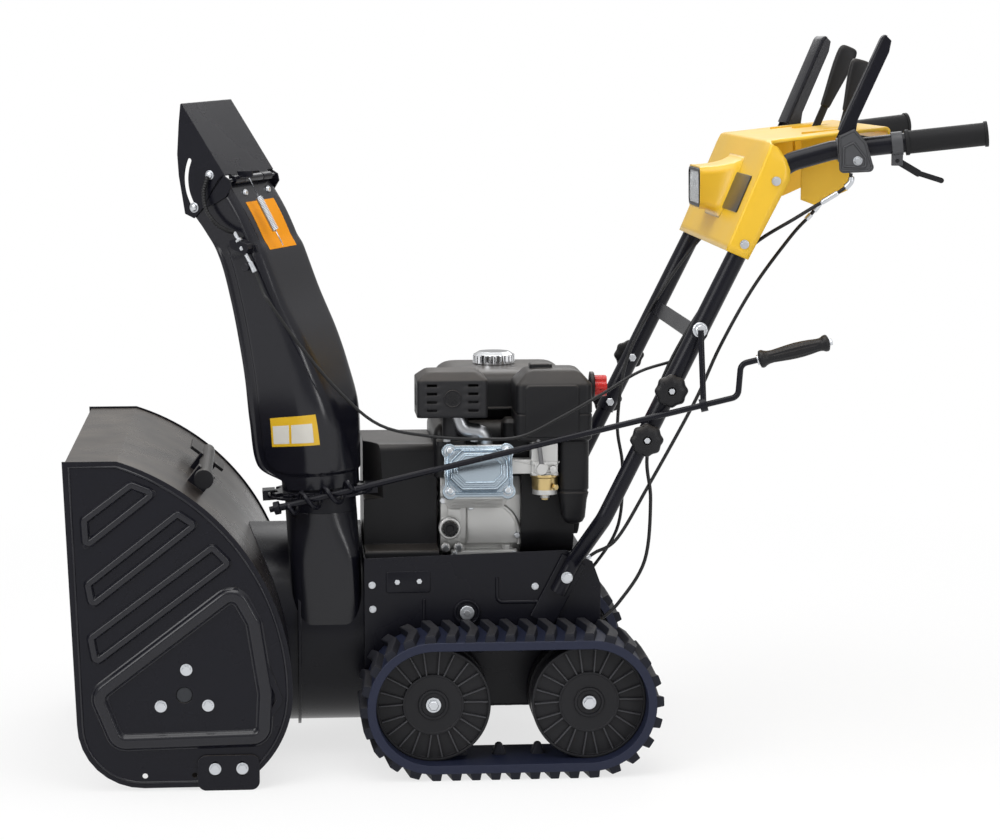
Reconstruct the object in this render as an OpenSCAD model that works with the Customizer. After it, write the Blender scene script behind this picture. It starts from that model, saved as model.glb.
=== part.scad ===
// Tracked two-stage snow thrower: a wide auger scoop and an impeller throw snow
// through a turning chute; an engine on a tracked chassis drives them, and the
// operator walks behind at two raised handles.
// Axes: +X runs back towards the operator, -Y is the left side, +Z is up. Millimetres.

/* [Scoop] */
// Clearing width over the two side plates
clear_w = 700; // [640:10:760]
// Thickness of the scoop and chute sheet
sheet_t = 3; // [2:0.5:4]
// Radius of the auger ribbons
auger_r = 143; // [130:1:150]
// Width of an auger ribbon
ribbon_w = 44; // [34:1:54]
// Thickness of an auger ribbon
ribbon_t = 4; // [3:0.5:6]
// Gap between the auger and the scoop floor
auger_gap = 4; // [3:0.5:8]
// Height of the scoop floor above the ground
floor_z = 8; // [7:0.5:12]
// Radius of the lower back of the scoop, round the auger
low_r = 172; // [165:1:180]
// Radius of the upper back of the scoop
high_r = 400; // [390:5:420]
// Depth of the scoop's top edge under the crown of that back
top_drop = 20; // [14:1:30]
// Reach of the side plates ahead of the auger axis
mouth_reach = 189; // [185:1:200]
// Radius of the lower front corner of the side plates
corner_r = 107; // [90:1:115]
// Rim of the side plates outside the scoop sheet
rim = 3; // [2:0.5:5]
// Radius of the auger shaft
auger_shaft_r = 12.5; // [10:0.5:14]
// Length of a skid shoe
skid_l = 100; // [80:1:130]
// Thickness of a skid shoe
skid_t = 5; // [4:0.5:6]

/* [Impeller] */
// Outside radius of the impeller drum
drum_r = 172; // [166:1:178]
// Length of the drum behind the scoop
drum_len = 125; // [110:1:140]
// Radius of the impeller
impeller_r = 163; // [150:1:164]
// Length of the impeller blades along the shaft
blade_l = 90; // [70:1:100]
// Thickness of the impeller blades
blade_t = 5; // [4:0.5:8]
// Height of the impeller shaft above the auger shaft
worm_offset = 50; // [46:1:56]
// Radius of the impeller shaft
impeller_shaft_r = 10; // [8:0.5:12]

/* [Chute] */
// Outside radius of the fixed tube under the chute
base_r = 60; // [56:1:64]
// Sideways place of the chute axis
chute_y = -110; // [-116:1:-100]
// Distance of the chute axis ahead of the chassis
chute_ahead = 72; // [66:1:76]
// Height of the ring that the chute turns on
ring_z = 462; // [440:2:480]
// Forward lean of the chute axis
chute_lean = 3.3; // [0:0.1:5]
// Turn of the chute in the rest position
chute_rest = -30; // [-30:1:0]
// Outside radius of the toothed ring
ring_r = 84; // [80:1:88]
// Number of notches in the toothed ring
ring_teeth = 13; // [13:1:13]
// Half width of the chute channel
chute_half_w = 77; // [74:1:80]

/* [Chassis and tracks] */
// Place of the chassis front plate
chassis_front = -268; // [-268:1:-268]
// Length of the chassis
chassis_l = 398; // [380:2:420]
// Width over the chassis side panels
chassis_w = 380; // [360:2:380]
// Underside of the chassis above the ground
chassis_low = 96; // [90:1:100]
// Top of the engine deck above the ground
deck_z = 332; // [326:1:340]
// Height of the side panels above the engine deck
deck_lip = 16; // [10:1:24]
// Radius of the track wheels
wheel_r = 95; // [90:1:100]
// Width of a track wheel
wheel_w = 95; // [80:1:98]
// Distance between the wheel axles
wheel_base = 258; // [240:2:270]
// Distance of the front axle behind the chassis front
front_axle = 109; // [105:1:115]
// Width of a track
track_w = 135; // [125:1:140]
// Thickness of the track band
band_t = 9; // [7:0.5:11]
// Height of the track lugs
lug_h = 18; // [14:1:20]
// Number of track lugs
lugs = 36; // [30:1:40]
// Radius of the axles
axle_r = 12.5; // [10:0.5:14]

/* [Engine] */
// Height of the crankshaft above the deck
shaft_h = 96; // [90:1:104]
// Lean of the cylinder above level
cylinder_lean = 19; // [16:1:21]
// Radius of the crankshaft
crank_shaft_r = 12.5; // [10:0.5:14]

/* [Handles] */
// Radius of the lower handle tubes
lower_tube_r = 13.5; // [12:0.5:14]
// Wall of the upper handle tubes
upper_wall = 2.2; // [1.5:0.1:3]
// Distance of the handle tubes from the middle
handle_y = 248; // [240:1:256]
// Radius of the handle grips
grip_r = 19; // [18:0.5:21]
// Thickness of the console sheet
console_t = 2; // [1.5:0.5:3]

/* [Clearances] */
// Running clearance of a shaft in a bore
run_gap = 0.06; // [0.04:0.01:0.1]
// Clearance between parts that slide or turn past each other
slide_gap = 0.4; // [0.3:0.05:0.6]

/* [Hidden] */
$fn = 48;
// Overlap that makes cuts and welds certain
eps = 0.5;

// Scoop, worked out from the chassis forwards
plate_y = clear_w / 2;
back_x = chassis_front - drum_len;
auger_x = back_x - low_r;
high_x = back_x - high_r;
mouth_x = auger_x - mouth_reach;
auger_z = floor_z + sheet_t + auger_gap + auger_r;
top_z = auger_z + high_r - top_drop;
inner_y = plate_y - sheet_t;
scraper_x = auger_x - 45;
impeller_z = auger_z + worm_offset;
drum_back = chassis_front - sheet_t;

// Chute axis and its ring
chute_x = chassis_front - chute_ahead;
chute_at = [chute_x, chute_y, ring_z];
pitch_r = ring_r - 4;
worm_pitch = 2 * PI * pitch_r / ring_teeth;

// Chassis and track
chassis_y = chassis_w / 2;
chassis_back = chassis_front + chassis_l;
wheel_z = wheel_r + band_t + lug_h;
front_x = chassis_front + front_axle;
rear_x = front_x + wheel_base;
track_gap = 5;
track_in = chassis_y + track_gap;
wheel_in = track_in + 10;
wheel_mid = track_in + track_w / 2;

// Engine
crank_z = deck_z + shaft_h;
engine_x = -66;
hex_x = -96;
hex_z = 254;

// Shape helpers
function unit(v) = v / norm(v);
function square_to(v) = abs(v.z) < 0.9 ? unit(cross(v, [0, 0, 1])) : unit(cross(v, [1, 0, 0]));
function corner_turn(p, i) = acos(unit(p[i] - p[i - 1]) * unit(p[i + 1] - p[i]));
function corner_cut(p, i, r) =
  i == 0 || i == len(p) - 1 ? 0 : r * tan(corner_turn(p, i) / 2);

// Carries children so that their z axis runs along direction d from point p
module along(p, d) {
  z = unit(d);
  x = square_to(z);
  y = cross(z, x);
  multmatrix([
    [x.x, y.x, z.x, p.x],
    [x.y, y.y, z.y, p.y],
    [x.z, y.z, z.z, p.z],
    [0, 0, 0, 1]
  ]) children();
}

// Carries children to p with their z axis along x
module lying(p) translate(p) rotate([0, 90, 0]) children();

// Round bar from point a to point b
module rod(a, b, r) along(a, b - a) cylinder(h = norm(b - a), r = r);

// Points along a polyline with round bends, k steps a bend
function bend_points(p, i, r, k) = let (
  u = unit(p[i] - p[i - 1]),
  w = unit(p[i + 1] - p[i]),
  n = unit(w - (w * u) * u),
  c = p[i] - u * corner_cut(p, i, r) + n * r
) [for (j = [0 : k]) let (a = corner_turn(p, i) * j / k) c - n * r * cos(a) + u * r * sin(a)];
function bent_line(p, r, k) = [
  p[0], for (i = [1 : 1 : len(p) - 2]) each bend_points(p, i, r, k), p[len(p) - 1]
];

// Extrudes an outline drawn in x and z along y, from y0 to y1
module slab(y0, y1) translate([0, y1, 0]) rotate([90, 0, 0]) linear_extrude(height = y1 - y0) children();

// Extrudes an outline drawn in y and z along x, from x0 to x1
module cross_slab(x0, x1)
  translate([x0, 0, 0]) rotate([90, 0, 90]) linear_extrude(height = x1 - x0) children();

// Flat bar with round ends between two points of a drawing
module bar2d(a, b, w) {
  translate(a) circle(d = w);
  translate(b) circle(d = w);
  translate(a) rotate(atan2(b.y - a.y, b.x - a.x))
    translate([0, 0.1 - w / 2]) square([norm(b - a), w - 0.2]);
}

// Line of constant width along a closed ring of points
module bead2d(p, w) for (i = [0 : len(p) - 1]) bar2d(p[i], p[(i + 1) % len(p)], w);

// Rectangle with round corners
module plate2d(a, b, r) {
  translate([a.x + r, a.y]) square([b.x - a.x - 2 * r, b.y - a.y]);
  translate([a.x, a.y + r]) square([b.x - a.x, b.y - a.y - 2 * r]);
  for (x = [a.x + r, b.x - r], y = [a.y + r, b.y - r]) translate([x, y]) circle(r = r);
}

// Hexagon bolt head on its washer, standing on a face at p that looks along d
module bolt(p, d, af = 13, h = 6) along(p, d) {
  cylinder(d = af * 1.5, h = 1.5);
  translate([0, 0, 1]) cylinder(d = af / cos(30), h = h, $fn = 6);
}

// Points of a smooth line through the given points, k steps a span
function spline_at(p, i, t) = let (
  a = p[max(i - 1, 0)], b = p[i], c = p[i + 1], d = p[min(i + 2, len(p) - 1)]
) 0.5 * (2 * b + (c - a) * t + (2 * a - 5 * b + 4 * c - d) * t * t + (3 * b - a - 3 * c + d) * t * t * t);
function spline(p, k) = [
  for (i = [0 : len(p) - 2], j = [0 : k - 1]) spline_at(p, i, j / k),
  p[len(p) - 1]
];

// Round bar swept along points, or a tube where a wall is given
function ring_at(p, i, r, sides) = let (
  n = len(p) - 1,
  t = unit(p[min(i + 1, n)] - p[max(i - 1, 0)]),
  a = unit(cross(t, [0.1, 1, 0.05])),
  b = cross(t, a)
) [for (j = [0 : sides - 1]) p[i] + r * (cos(360 * j / sides) * a + sin(360 * j / sides) * b)];
module sweep(p, r, sides, wall = 0) {
  m = len(p) * sides;
  e = m - sides;
  outer = [for (i = [0 : len(p) - 1]) each ring_at(p, i, r, sides)];
  inner = wall == 0 ? [] : [for (i = [0 : len(p) - 1]) each ring_at(p, i, r - wall, sides)];
  skin = [for (i = [0 : sides : e - 1], j = [0 : sides - 1]) let (
    a = i + j, b = i + (j + 1) % sides
  ) each [[a, a + sides, b], [b, a + sides, b + sides]]];
  ends = wall == 0
    ? [for (j = [1 : sides - 2]) each [[0, j, j + 1], [e, e + j + 1, e + j]]]
    : [for (j = [0 : sides - 1]) let (k = (j + 1) % sides)
      each [[j, k, m + k], [j, m + k, m + j], [e + k, e + j, m + e + j], [e + k, m + e + j,
        m + e + k]]];
  lining = wall == 0 ? [] : [for (f = skin) [f[0] + m, f[2] + m, f[1] + m]];
  polyhedron(concat(outer, inner), concat(skin, ends, lining));
}

// Side outline of the scoop, grown by g outside the sheet
module scoop2d(g) {
  low = floor_z - g;
  translate([auger_x, auger_z]) intersection() {
    circle(r = low_r + g);
    translate([0, low - auger_z]) square([low_r + g + eps, auger_z - low]);
  }
  intersection() {
    translate([high_x, auger_z]) circle(r = high_r + g);
    translate([mouth_x - 2 * low_r, auger_z]) square([high_r * 2, top_z + g - auger_z]);
  }
  translate([mouth_x - 2 * low_r, low]) square([auger_x - mouth_x + 2 * low_r, auger_z - low]);
}

// Outline of a side plate: the scoop with its rim, cut back at the mouth
corner_at = [mouth_x + 16 + corner_r, floor_z - rim + corner_r];
module side_plate2d() difference() {
  scoop2d(rim);
  polygon([
    [mouth_x - 3 * low_r, -rim], [corner_at.x, -rim],
    for (i = [0 : 8]) corner_at + corner_r * [cos(270 - i * 90 / 8), sin(270 - i * 90 / 8)],
    [mouth_x, top_z + rim + eps], [mouth_x - 3 * low_r, top_z + rim + eps]
  ]);
}

// Pressed loops that stiffen a side plate: three slanting ones and one round the auger bearing
press_w = 9;
press_h = 3;
slant_loops = [
  [[-155, 289], [-80, 345], [-45, 331], [-153, 247]],
  [[-151, 185], [-7, 297], [20, 279], [-145, 151]],
  [[-148, 97], [48, 242], [73, 216], [-141, 57]],
  [[-140, 3], [85, 172], [154, -11], [113, -72], [-108, -77]]
];

// Three bolts of each auger bearing, round the auger shaft
bearing_bolt_r = 42;
bearing_bolt_angles = [205, 85, 335];
function bearing_bolt(a) = [auger_x + bearing_bolt_r * cos(a), auger_z + bearing_bolt_r * sin(a)];
plate_hole_r = 4.5;
// Pair of square-set holes for the accessory drift cutters, above the floor
cutter_hole_x = [auger_x - 65, auger_x + 15];
cutter_hole_z = floor_z + 17;
skid_x = auger_x + 70;
skid_bolt_x = [skid_x - 22, skid_x + 22];
skid_bolt_z = 36;

module side_plate(side) {
  face = side < 0 ? -plate_y : plate_y - sheet_t;
  loop_face = side < 0 ? -plate_y - press_h : plate_y - eps;
  color("#1b1c22") difference() {
    union() {
      slab(face, face + sheet_t) side_plate2d();
      slab(loop_face, loop_face + press_h + eps)
        for (p = slant_loops)
          bead2d([for (q = p) [auger_x + q.x, auger_z + q.y]], press_w);
    }
    for (a = bearing_bolt_angles)
      let (p = bearing_bolt(a))
        translate([p.x, side * plate_y, p.y]) rotate([90, 0, 0])
          cylinder(r = plate_hole_r, h = 4 * sheet_t, center = true);
    for (x = cutter_hole_x)
      translate([x, side * plate_y, cutter_hole_z]) rotate([90, 0, 0])
        cylinder(r = plate_hole_r, h = 4 * sheet_t, center = true);
    for (x = skid_bolt_x)
      translate([x, side * plate_y, skid_bolt_z]) rotate([90, 0, 0])
        cylinder(r = plate_hole_r, h = 4 * sheet_t, center = true);
    translate([auger_x, side * plate_y, auger_z]) rotate([90, 0, 0])
      cylinder(r = auger_shaft_r + 1, h = 4 * sheet_t, center = true);
  }
}
module left_side_plate() side_plate(-1);
module right_side_plate() side_plate(1);

// Clip for the clean-out tool on the scoop's back: two cradles along the tool
tool_r = 12;
tool_off = 24;
tool_angle = 52;
tool_y = -232;
tool_l = 330;
function tool_point(y, off) = [
  high_x + (high_r + off) * cos(tool_angle), y, auger_z + (high_r + off) * sin(tool_angle)
];
cradle_y = [tool_y + 60, tool_y + 210];
cradle_w = 22;
module tool_cradle(y) {
  wall = tool_r + 5;
  along(tool_point(y, -eps), tool_point(y, 1) - tool_point(y, 0)) difference() {
    translate([-cradle_w / 2, -wall, 0]) cube([cradle_w, 2 * wall, tool_off + tool_r * 0.6 + eps]);
    lying([0, 0, tool_off + eps])
      cylinder(r = tool_r + slide_gap, h = cradle_w + 2, center = true);
    translate([-cradle_w, -tool_r - slide_gap, tool_off + eps])
      cube([2 * cradle_w, 2 * (tool_r + slide_gap), 2 * tool_r]);
  }
}

// Rolled scoop between the side plates, open at the mouth and round the drum
module auger_housing() color("#2a2a2c") {
  difference() {
    slab(-inner_y, inner_y) difference() {
      scoop2d(0);
      scoop2d(-sheet_t);
      translate([mouth_x - 3 * low_r, auger_z]) square([3 * low_r + 4, high_r]);
      translate([mouth_x - 3 * low_r, 0]) square([scraper_x - mouth_x + 3 * low_r, auger_z + eps]);
    }
    lying([auger_x, 0, impeller_z])
      cylinder(r = drum_r - sheet_t, h = 2 * low_r);
  }
  for (y = cradle_y) tool_cradle(y);
  slab(-inner_y, inner_y)
    translate([mouth_x + 4, top_z - 14]) square([sheet_t, 14 - sheet_t + eps]);
}

// Hard steel edge bolted under the scoop floor
scraper_t = 4;
scraper_w = 50;
module scraper_bar() color("#3a3a3c")
  difference() {
    translate([scraper_x - 14, -inner_y + 1, floor_z - scraper_t])
      cube([scraper_w, 2 * inner_y - 2, scraper_t]);
    for (y = [-240 : 160 : 240])
      translate([scraper_x + 20, y, 0]) cylinder(r = plate_hole_r, h = floor_z);
  }

// Skid shoe: a slotted plate outside the side plate, its foot turned in under the edge
foot_w = 26;
foot_t = floor_z - rim - slide_gap;
module skid_shoe(side) {
  y0 = side < 0 ? -plate_y - skid_t : plate_y;
  foot_y = side < 0 ? -plate_y - skid_t : plate_y + skid_t - foot_w;
  difference() {
    union() {
      slab(y0, y0 + skid_t) plate2d([skid_x - skid_l / 2, 0], [skid_x + skid_l / 2, 58], 14);
      slab(y0, y0 + skid_t) translate([skid_x - skid_l / 2 + 14, 0]) square([skid_l - 28, 20]);
      translate([skid_x - skid_l / 2 + 14, foot_y, 0]) cube([skid_l - 28, foot_w, foot_t]);
    }
    for (x = skid_bolt_x)
      slab(y0 - eps, y0 + skid_t + eps)
        bar2d([x, skid_bolt_z - 8], [x, skid_bolt_z + 8], 2 * plate_hole_r);
  }
}
module skid_shoes() color("#26272b") for (side = [-1, 1]) skid_shoe(side);

// Flanged bush inside each side plate, round the auger shaft
bearing_l = 26;
bearing_flange_r = bearing_bolt_r + 12;
module auger_bearings() color("#8d8f92")
  for (side = [-1, 1]) {
    along([auger_x, side * inner_y, auger_z], [0, -side, 0]) difference() {
      union() {
        cylinder(r = bearing_flange_r, h = 4);
        cylinder(r = auger_shaft_r + 8, h = bearing_l);
      }
      translate([0, 0, -eps]) cylinder(r = auger_shaft_r + run_gap, h = bearing_l + 2 * eps);
    }
  }

// Drum behind the scoop with its rear wall, and the fixed tube that the chute stands on
base_top = 14;
flange_r = ring_r + 5;
flange_t = 4;
base_low = impeller_z - 20;
base_floor = impeller_z + 56;
module at_chute() translate(chute_at) rotate([0, -chute_lean, 0]) children();
module drum_body(r, x1)
  lying([auger_x, 0, impeller_z]) cylinder(r = r, h = x1 - auger_x);
module impeller_housing() color("#1d1e24") difference() {
  union() {
    difference() {
      union() {
        drum_body(drum_r, chassis_front);
        lying([back_x + 14, 0, impeller_z])
          cylinder(r = drum_r + 8, h = 5);
        difference() {
          at_chute() translate([0, 0, base_low - ring_z])
            cylinder(r = base_r, h = ring_z - base_low + base_top);
          translate([chassis_front - sheet_t / 2, -drum_r, 0])
            cube([base_r, 2 * drum_r, deck_z]);
        }
        at_chute() translate([0, 0, -flange_t - 9]) cylinder(r = flange_r, h = flange_t);
      }
      drum_body(drum_r - sheet_t, drum_back);
      at_chute() translate([0, 0, base_floor - ring_z])
        cylinder(r = base_r - sheet_t, h = ring_z);
    }
    lying([drum_back - 16, 0, impeller_z])
      cylinder(r = impeller_shaft_r + 14, h = 16 + eps);
  }
  translate([0, inner_y, 0]) slab(-2 * inner_y, 0) scoop2d(0);
  lying([drum_back - 20, 0, impeller_z])
    cylinder(r = impeller_shaft_r + run_gap, h = 40);
  rod(mesh_at - crank_dir * 2 * worm_pitch, mesh_at + crank_dir * 2 * worm_pitch, worm_out + 2);
}

// Cast gearbox in the middle of the auger shaft, with the worm shaft entering from behind
case_r = 50;
case_w = 66;
case_nose = 92;
module gearbox_case() color("#2c2d31") difference() {
  union() {
    translate([auger_x, 0, auger_z]) rotate([90, 0, 0])
      cylinder(r = case_r, h = case_w, center = true);
    translate([auger_x, 0, auger_z]) rotate([90, 0, 0])
      cylinder(r = 30, h = case_w + 24, center = true);
    lying([auger_x - 48, 0, impeller_z])
      cylinder(r = 27, h = 48 + case_nose);
    translate([auger_x - 48, -27, auger_z]) cube([96, 54, worm_offset]);
    lying([auger_x + 44, 0, impeller_z]) cylinder(r = 34, h = 9);
  }
  translate([auger_x, 0, auger_z]) rotate([90, 0, 0])
    cylinder(r = auger_shaft_r + run_gap, h = 2 * case_w, center = true);
  lying([auger_x - 30, 0, impeller_z])
    cylinder(r = impeller_shaft_r + run_gap, h = 2 * case_nose);
}

module auger_shaft() color("#77797d")
  translate([auger_x, 0, auger_z]) rotate([90, 0, 0])
    cylinder(r = auger_shaft_r, h = 2 * inner_y + 2, center = true);

// Helical ribbon with a saw edge round the auger axis, from y0 to y1
ribbon_steps = 24;
tooth_h = 7;
module ribbon(y0, y1, turns, phase) {
  half = ribbon_t / 2;
  points = [for (i = [0 : ribbon_steps]) let (
    t = i / ribbon_steps,
    a = phase + 360 * turns * t,
    y = y0 + (y1 - y0) * t,
    r = auger_r - (i % 2 == 0 ? 0 : tooth_h)
  ) each [
    [(auger_r - ribbon_w) * cos(a), y - half, (auger_r - ribbon_w) * sin(a)],
    [r * cos(a), y - half, r * sin(a)],
    [r * cos(a), y + half, r * sin(a)],
    [(auger_r - ribbon_w) * cos(a), y + half, (auger_r - ribbon_w) * sin(a)]
  ]];
  faces = [for (i = [0 : ribbon_steps - 1], j = [0 : 3]) let (
    a = 4 * i + j, b = 4 * i + (j + 1) % 4
  ) each (j == 2 ? [[a, a + 4, b + 4], [a, b + 4, b]] : [[a, a + 4, b], [b, a + 4, b + 4]])];
  e = 4 * ribbon_steps;
  ends = [[0, 1, 2], [0, 2, 3], [e, e + 2, e + 1], [e, e + 3, e + 2]];
  translate([auger_x, 0, auger_z]) polyhedron(points, concat(faces, ends));
}

// One half of the auger: a tube on the shaft, arms and two ribbons that wind towards the middle
tube_r = auger_shaft_r + 5;
ribbon_turns = 0.9;
auger_in = case_w / 2 + 22;
auger_out = inner_y - bearing_l - 8;
arm_w = 32;
arm_places = [0.12, 0.5, 0.88];
module auger_half(side) color("#2e3034") {
  y0 = side * auger_in;
  y1 = side * auger_out;
  translate([auger_x, 0, auger_z]) rotate([90, 0, 0])
    translate([0, 0, side < 0 ? auger_in : -auger_out])
    difference() {
      cylinder(r = tube_r, h = auger_out - auger_in);
      translate([0, 0, -eps])
        cylinder(r = auger_shaft_r + run_gap, h = auger_out - auger_in + 2 * eps);
    }
  for (phase = [0, 180]) {
    ribbon(y0, y1, ribbon_turns, phase);
    for (t = arm_places)
      translate([auger_x, y0 + (y1 - y0) * t, auger_z])
        rotate([0, -(phase + 360 * ribbon_turns * t), 0])
          translate([tube_r - 2, -ribbon_t, -arm_w / 2])
            cube([auger_r - ribbon_w / 2 - tube_r, 2 * ribbon_t, arm_w]);
  }
}
module left_auger() auger_half(-1);
module right_auger() auger_half(1);

// Four-bladed impeller welded on its hub
blades = 4;
hub_l = blade_l + 8;
impeller_x = drum_back - 22 - hub_l;
module impeller() color("#303238") difference() {
  lying([impeller_x, 0, impeller_z]) {
    cylinder(r = impeller_shaft_r + 8, h = hub_l);
    for (i = [0 : blades - 1]) rotate(360 * i / blades + 20) {
      translate([impeller_shaft_r + 4, -blade_t / 2, 4])
        cube([impeller_r - impeller_shaft_r - 4, blade_t, blade_l]);
      translate([impeller_r - 34, -blade_t / 2, 4]) rotate(38)
        cube([26, blade_t, blade_l]);
    }
  }
  lying([impeller_x - eps, 0, impeller_z])
    cylinder(r = impeller_shaft_r + run_gap, h = hub_l + 2 * eps);
}

// Shaft of the impeller: worm end in the gearbox, belt pulley at the back
belt_x = chassis_front + 34;
belt_w = 13;
belt_step = 17;
pulley_r = 92;
module grooved_pulley(r, grooves, bore, hub) {
  w = belt_step * grooves;
  rotate_extrude() difference() {
    translate([bore, -w / 2]) square([r - bore, w]);
    for (i = [0 : grooves - 1])
      translate([r - belt_w, (i - (grooves - 1) / 2) * belt_step])
        polygon([[0, -belt_w / 3], [belt_w + 1, -belt_w / 2], [belt_w + 1, belt_w / 2], [0,
          belt_w / 3]]);
  }
  difference() {
    cylinder(r = hub, h = w + 16, center = true);
    cylinder(r = bore, h = w + 18, center = true);
  }
}
module impeller_shaft() color("#85878b") {
  lying([auger_x - 28, 0, impeller_z])
    cylinder(r = impeller_shaft_r, h = belt_x + 24 - auger_x + 28);
  lying([belt_x, 0, impeller_z])
    grooved_pulley(pulley_r, 2, impeller_shaft_r - 1, 22);
}

// Outline of a belt round two pulleys, drawn in y and z
engine_pulley_r = 38;
drive_pulley_r = 62;
belt_t = 9;
module belt2d(r1, z1, r2, z2) {
  a = asin((r1 - r2) / (z2 - z1));
  flat = 0.3;
  translate([0, z1]) circle(r = r1);
  translate([0, z2]) circle(r = r2);
  polygon([for (p = [[r1, z1, 1], [r2, z2, 1], [r2, z2, -1], [r1, z1, -1]])
    [p[2] * (p[0] - flat) * cos(a), p[1] + (p[0] - flat) * sin(a)]]);
}
drive_x = belt_x + belt_step * 2.5;
belt_body = belt_w - 4;
module belt(x, r1, z1) cross_slab(x - belt_body / 2, x + belt_body / 2) difference() {
  belt2d(r1, z1, engine_pulley_r, crank_z);
  belt2d(r1 - belt_t, z1, engine_pulley_r - belt_t, crank_z);
}
module drive_belts() color("#17171a") {
  for (i = [-0.5, 0.5]) belt(belt_x + i * belt_step, pulley_r, impeller_z);
  belt(drive_x, drive_pulley_r, hex_z);
}

// Crankshaft end with its three-groove pulley
crank_front = -136;
shaft_tip = belt_x - belt_step - 9;
module engine_pulley() color("#6f7276") {
  lying([drive_x, 0, crank_z])
    grooved_pulley(engine_pulley_r, 1, crank_shaft_r - 1, 18);
  lying([belt_x, 0, crank_z])
    grooved_pulley(engine_pulley_r, 2, crank_shaft_r - 1, 18);
  lying([shaft_tip, 0, crank_z])
    cylinder(r = crank_shaft_r, h = crank_front + 30 - shaft_tip);
}

// Moulded cover over the belts: a tall box on a wider foot, hollowed for the turning chute ring
cover_front = chassis_front + 3 + slide_gap;
cover_back = crank_front - 4;
cover_top = 526;
cover_y = [-86, 112];
cover_t = 2.5;
foot_y = 150;
foot_h = 22;
chute_sweep = 109;
module ring_pocket(g) at_chute() translate([0, 0, -34 - g]) cylinder(r = chute_sweep + g, h = 160);
module cover_box(g) difference() {
  union() {
    cross_slab(cover_front + g, cover_back - g)
      plate2d([cover_y[0] + g, deck_z], [cover_y[1] - g, cover_top - g], 14);
    cross_slab(cover_front + g, cover_back - g)
      plate2d([-foot_y + g, deck_z - 8], [foot_y - g, deck_z + foot_h - g], 6);
  }
  ring_pocket(g);
  translate([cover_front - 1, -foot_y, deck_z - 20]) cube([200, 2 * foot_y, 20]);
}
module belt_cover() color("#222226") difference() {
  cover_box(0);
  translate([0, 0, -eps]) cover_box(cover_t);
  lying([cover_back - 10, 0, crank_z]) cylinder(r = 48, h = 20);
  translate([cover_front + 8, -foot_y + 8, deck_z - 1])
    cube([cover_back - cover_front - 16, 2 * foot_y - 16, 2]);
}

// Folded chassis: two side panels, a front plate and the engine deck, on a rear axle bar
panel_t = 3;
axle_end = wheel_in + wheel_w + 2;
boss_r = 24;
boss_l = 20;
hex_shaft_r = 9;
module panel2d() polygon([
  [chassis_front, chassis_low], [chassis_front, deck_z + deck_lip],
  [chassis_back - 60, deck_z + deck_lip + 10], [chassis_back - 14, deck_z + 6],
  [chassis_back, deck_z - 32], [chassis_back, chassis_low + 24], [chassis_back - 20, chassis_low]
]);
module chassis_frame() color("#1c1d23") {
  difference() {
    union() {
      for (side = [-1, 1]) {
        y0 = side < 0 ? -chassis_y : chassis_y - panel_t;
        slab(y0, y0 + panel_t) panel2d();
        for (p = [[front_x, wheel_z], [hex_x, hex_z]])
          along([p.x, side * (chassis_y - eps), p.y], [0, -side, 0])
            cylinder(r = boss_r, h = boss_l);
      }
      translate([chassis_front, -chassis_y + 1, chassis_low])
        cube([panel_t, chassis_w - 2, deck_z + deck_lip - chassis_low]);
      difference() {
        translate([chassis_front, -chassis_y + 1, deck_z - panel_t])
          cube([chassis_l - 14, chassis_w - 2, panel_t]);
        translate([belt_x - 2 * belt_step, -pulley_r - 8, deck_z - 10])
          cube([drive_x - belt_x + 3 * belt_step, 2 * pulley_r + 16, 20]);
      }
      translate([rear_x, -axle_end, wheel_z]) rotate([-90, 0, 0])
        cylinder(r = axle_r, h = 2 * axle_end);
    }
    for (side = [-1, 1]) {
      along([front_x, side * (chassis_y + 1), wheel_z], [0, -side, 0])
        cylinder(r = axle_r + run_gap, h = boss_l + 4);
      along([hex_x, side * (chassis_y + 1), hex_z], [0, -side, 0])
        cylinder(r = hex_shaft_r + run_gap, h = boss_l + 4);
    }
    lying([chassis_front - 1, 0, impeller_z])
      cylinder(r = impeller_shaft_r + 3, h = panel_t + 2);
  }
  translate([chassis_front + 12, 1 - chassis_y, chassis_low - 3])
    cube([chassis_l - 40, chassis_w - 2, 3]);
}

// Zinc bolts of the frame, tub and console
function near(side, y) = [0, side * y, 0];
module frame_bolts() color("#c3c6cb") for (side = [-1, 1]) {
  for (a = bearing_bolt_angles)
    let (p = bearing_bolt(a)) bolt([p.x, side * plate_y, p.y], near(side, 1));
  for (x = skid_bolt_x) bolt([x, side * (plate_y + skid_t), skid_bolt_z], near(side, 1), 13, 5);
  for (p = [[-213, 308], [-176, 309], [19, 297], [-255, 303], [-254, 262]])
    bolt([p.x, side * chassis_y, p.y], near(side, 1), 8, 4);
  bolt([rear_x, side * axle_end, wheel_z], near(side, 1), 15, 7);
  bolt([foot_bolt.x, side * (chassis_y + 2 * lower_tube_r), foot_bolt.y], near(side, 1), 13, 6);
  for (z = console_bolt_z)
    bolt(sided(tube_at(z), side) + near(side, console_half - handle_y), near(side, 1), 10, 5);
}

// Endless rubber track: band, chevron lugs outside and drive lugs inside
drive_lugs = lugs / 2;
run_l = wheel_base;
module loop2d(r) {
  for (x = [front_x, rear_x]) translate([x, wheel_z]) circle(r = r);
  translate([front_x, wheel_z - r]) square([run_l, 2 * r]);
}
band_r = wheel_r + band_t;
loop_l = 2 * run_l + 2 * PI * band_r;
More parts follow.
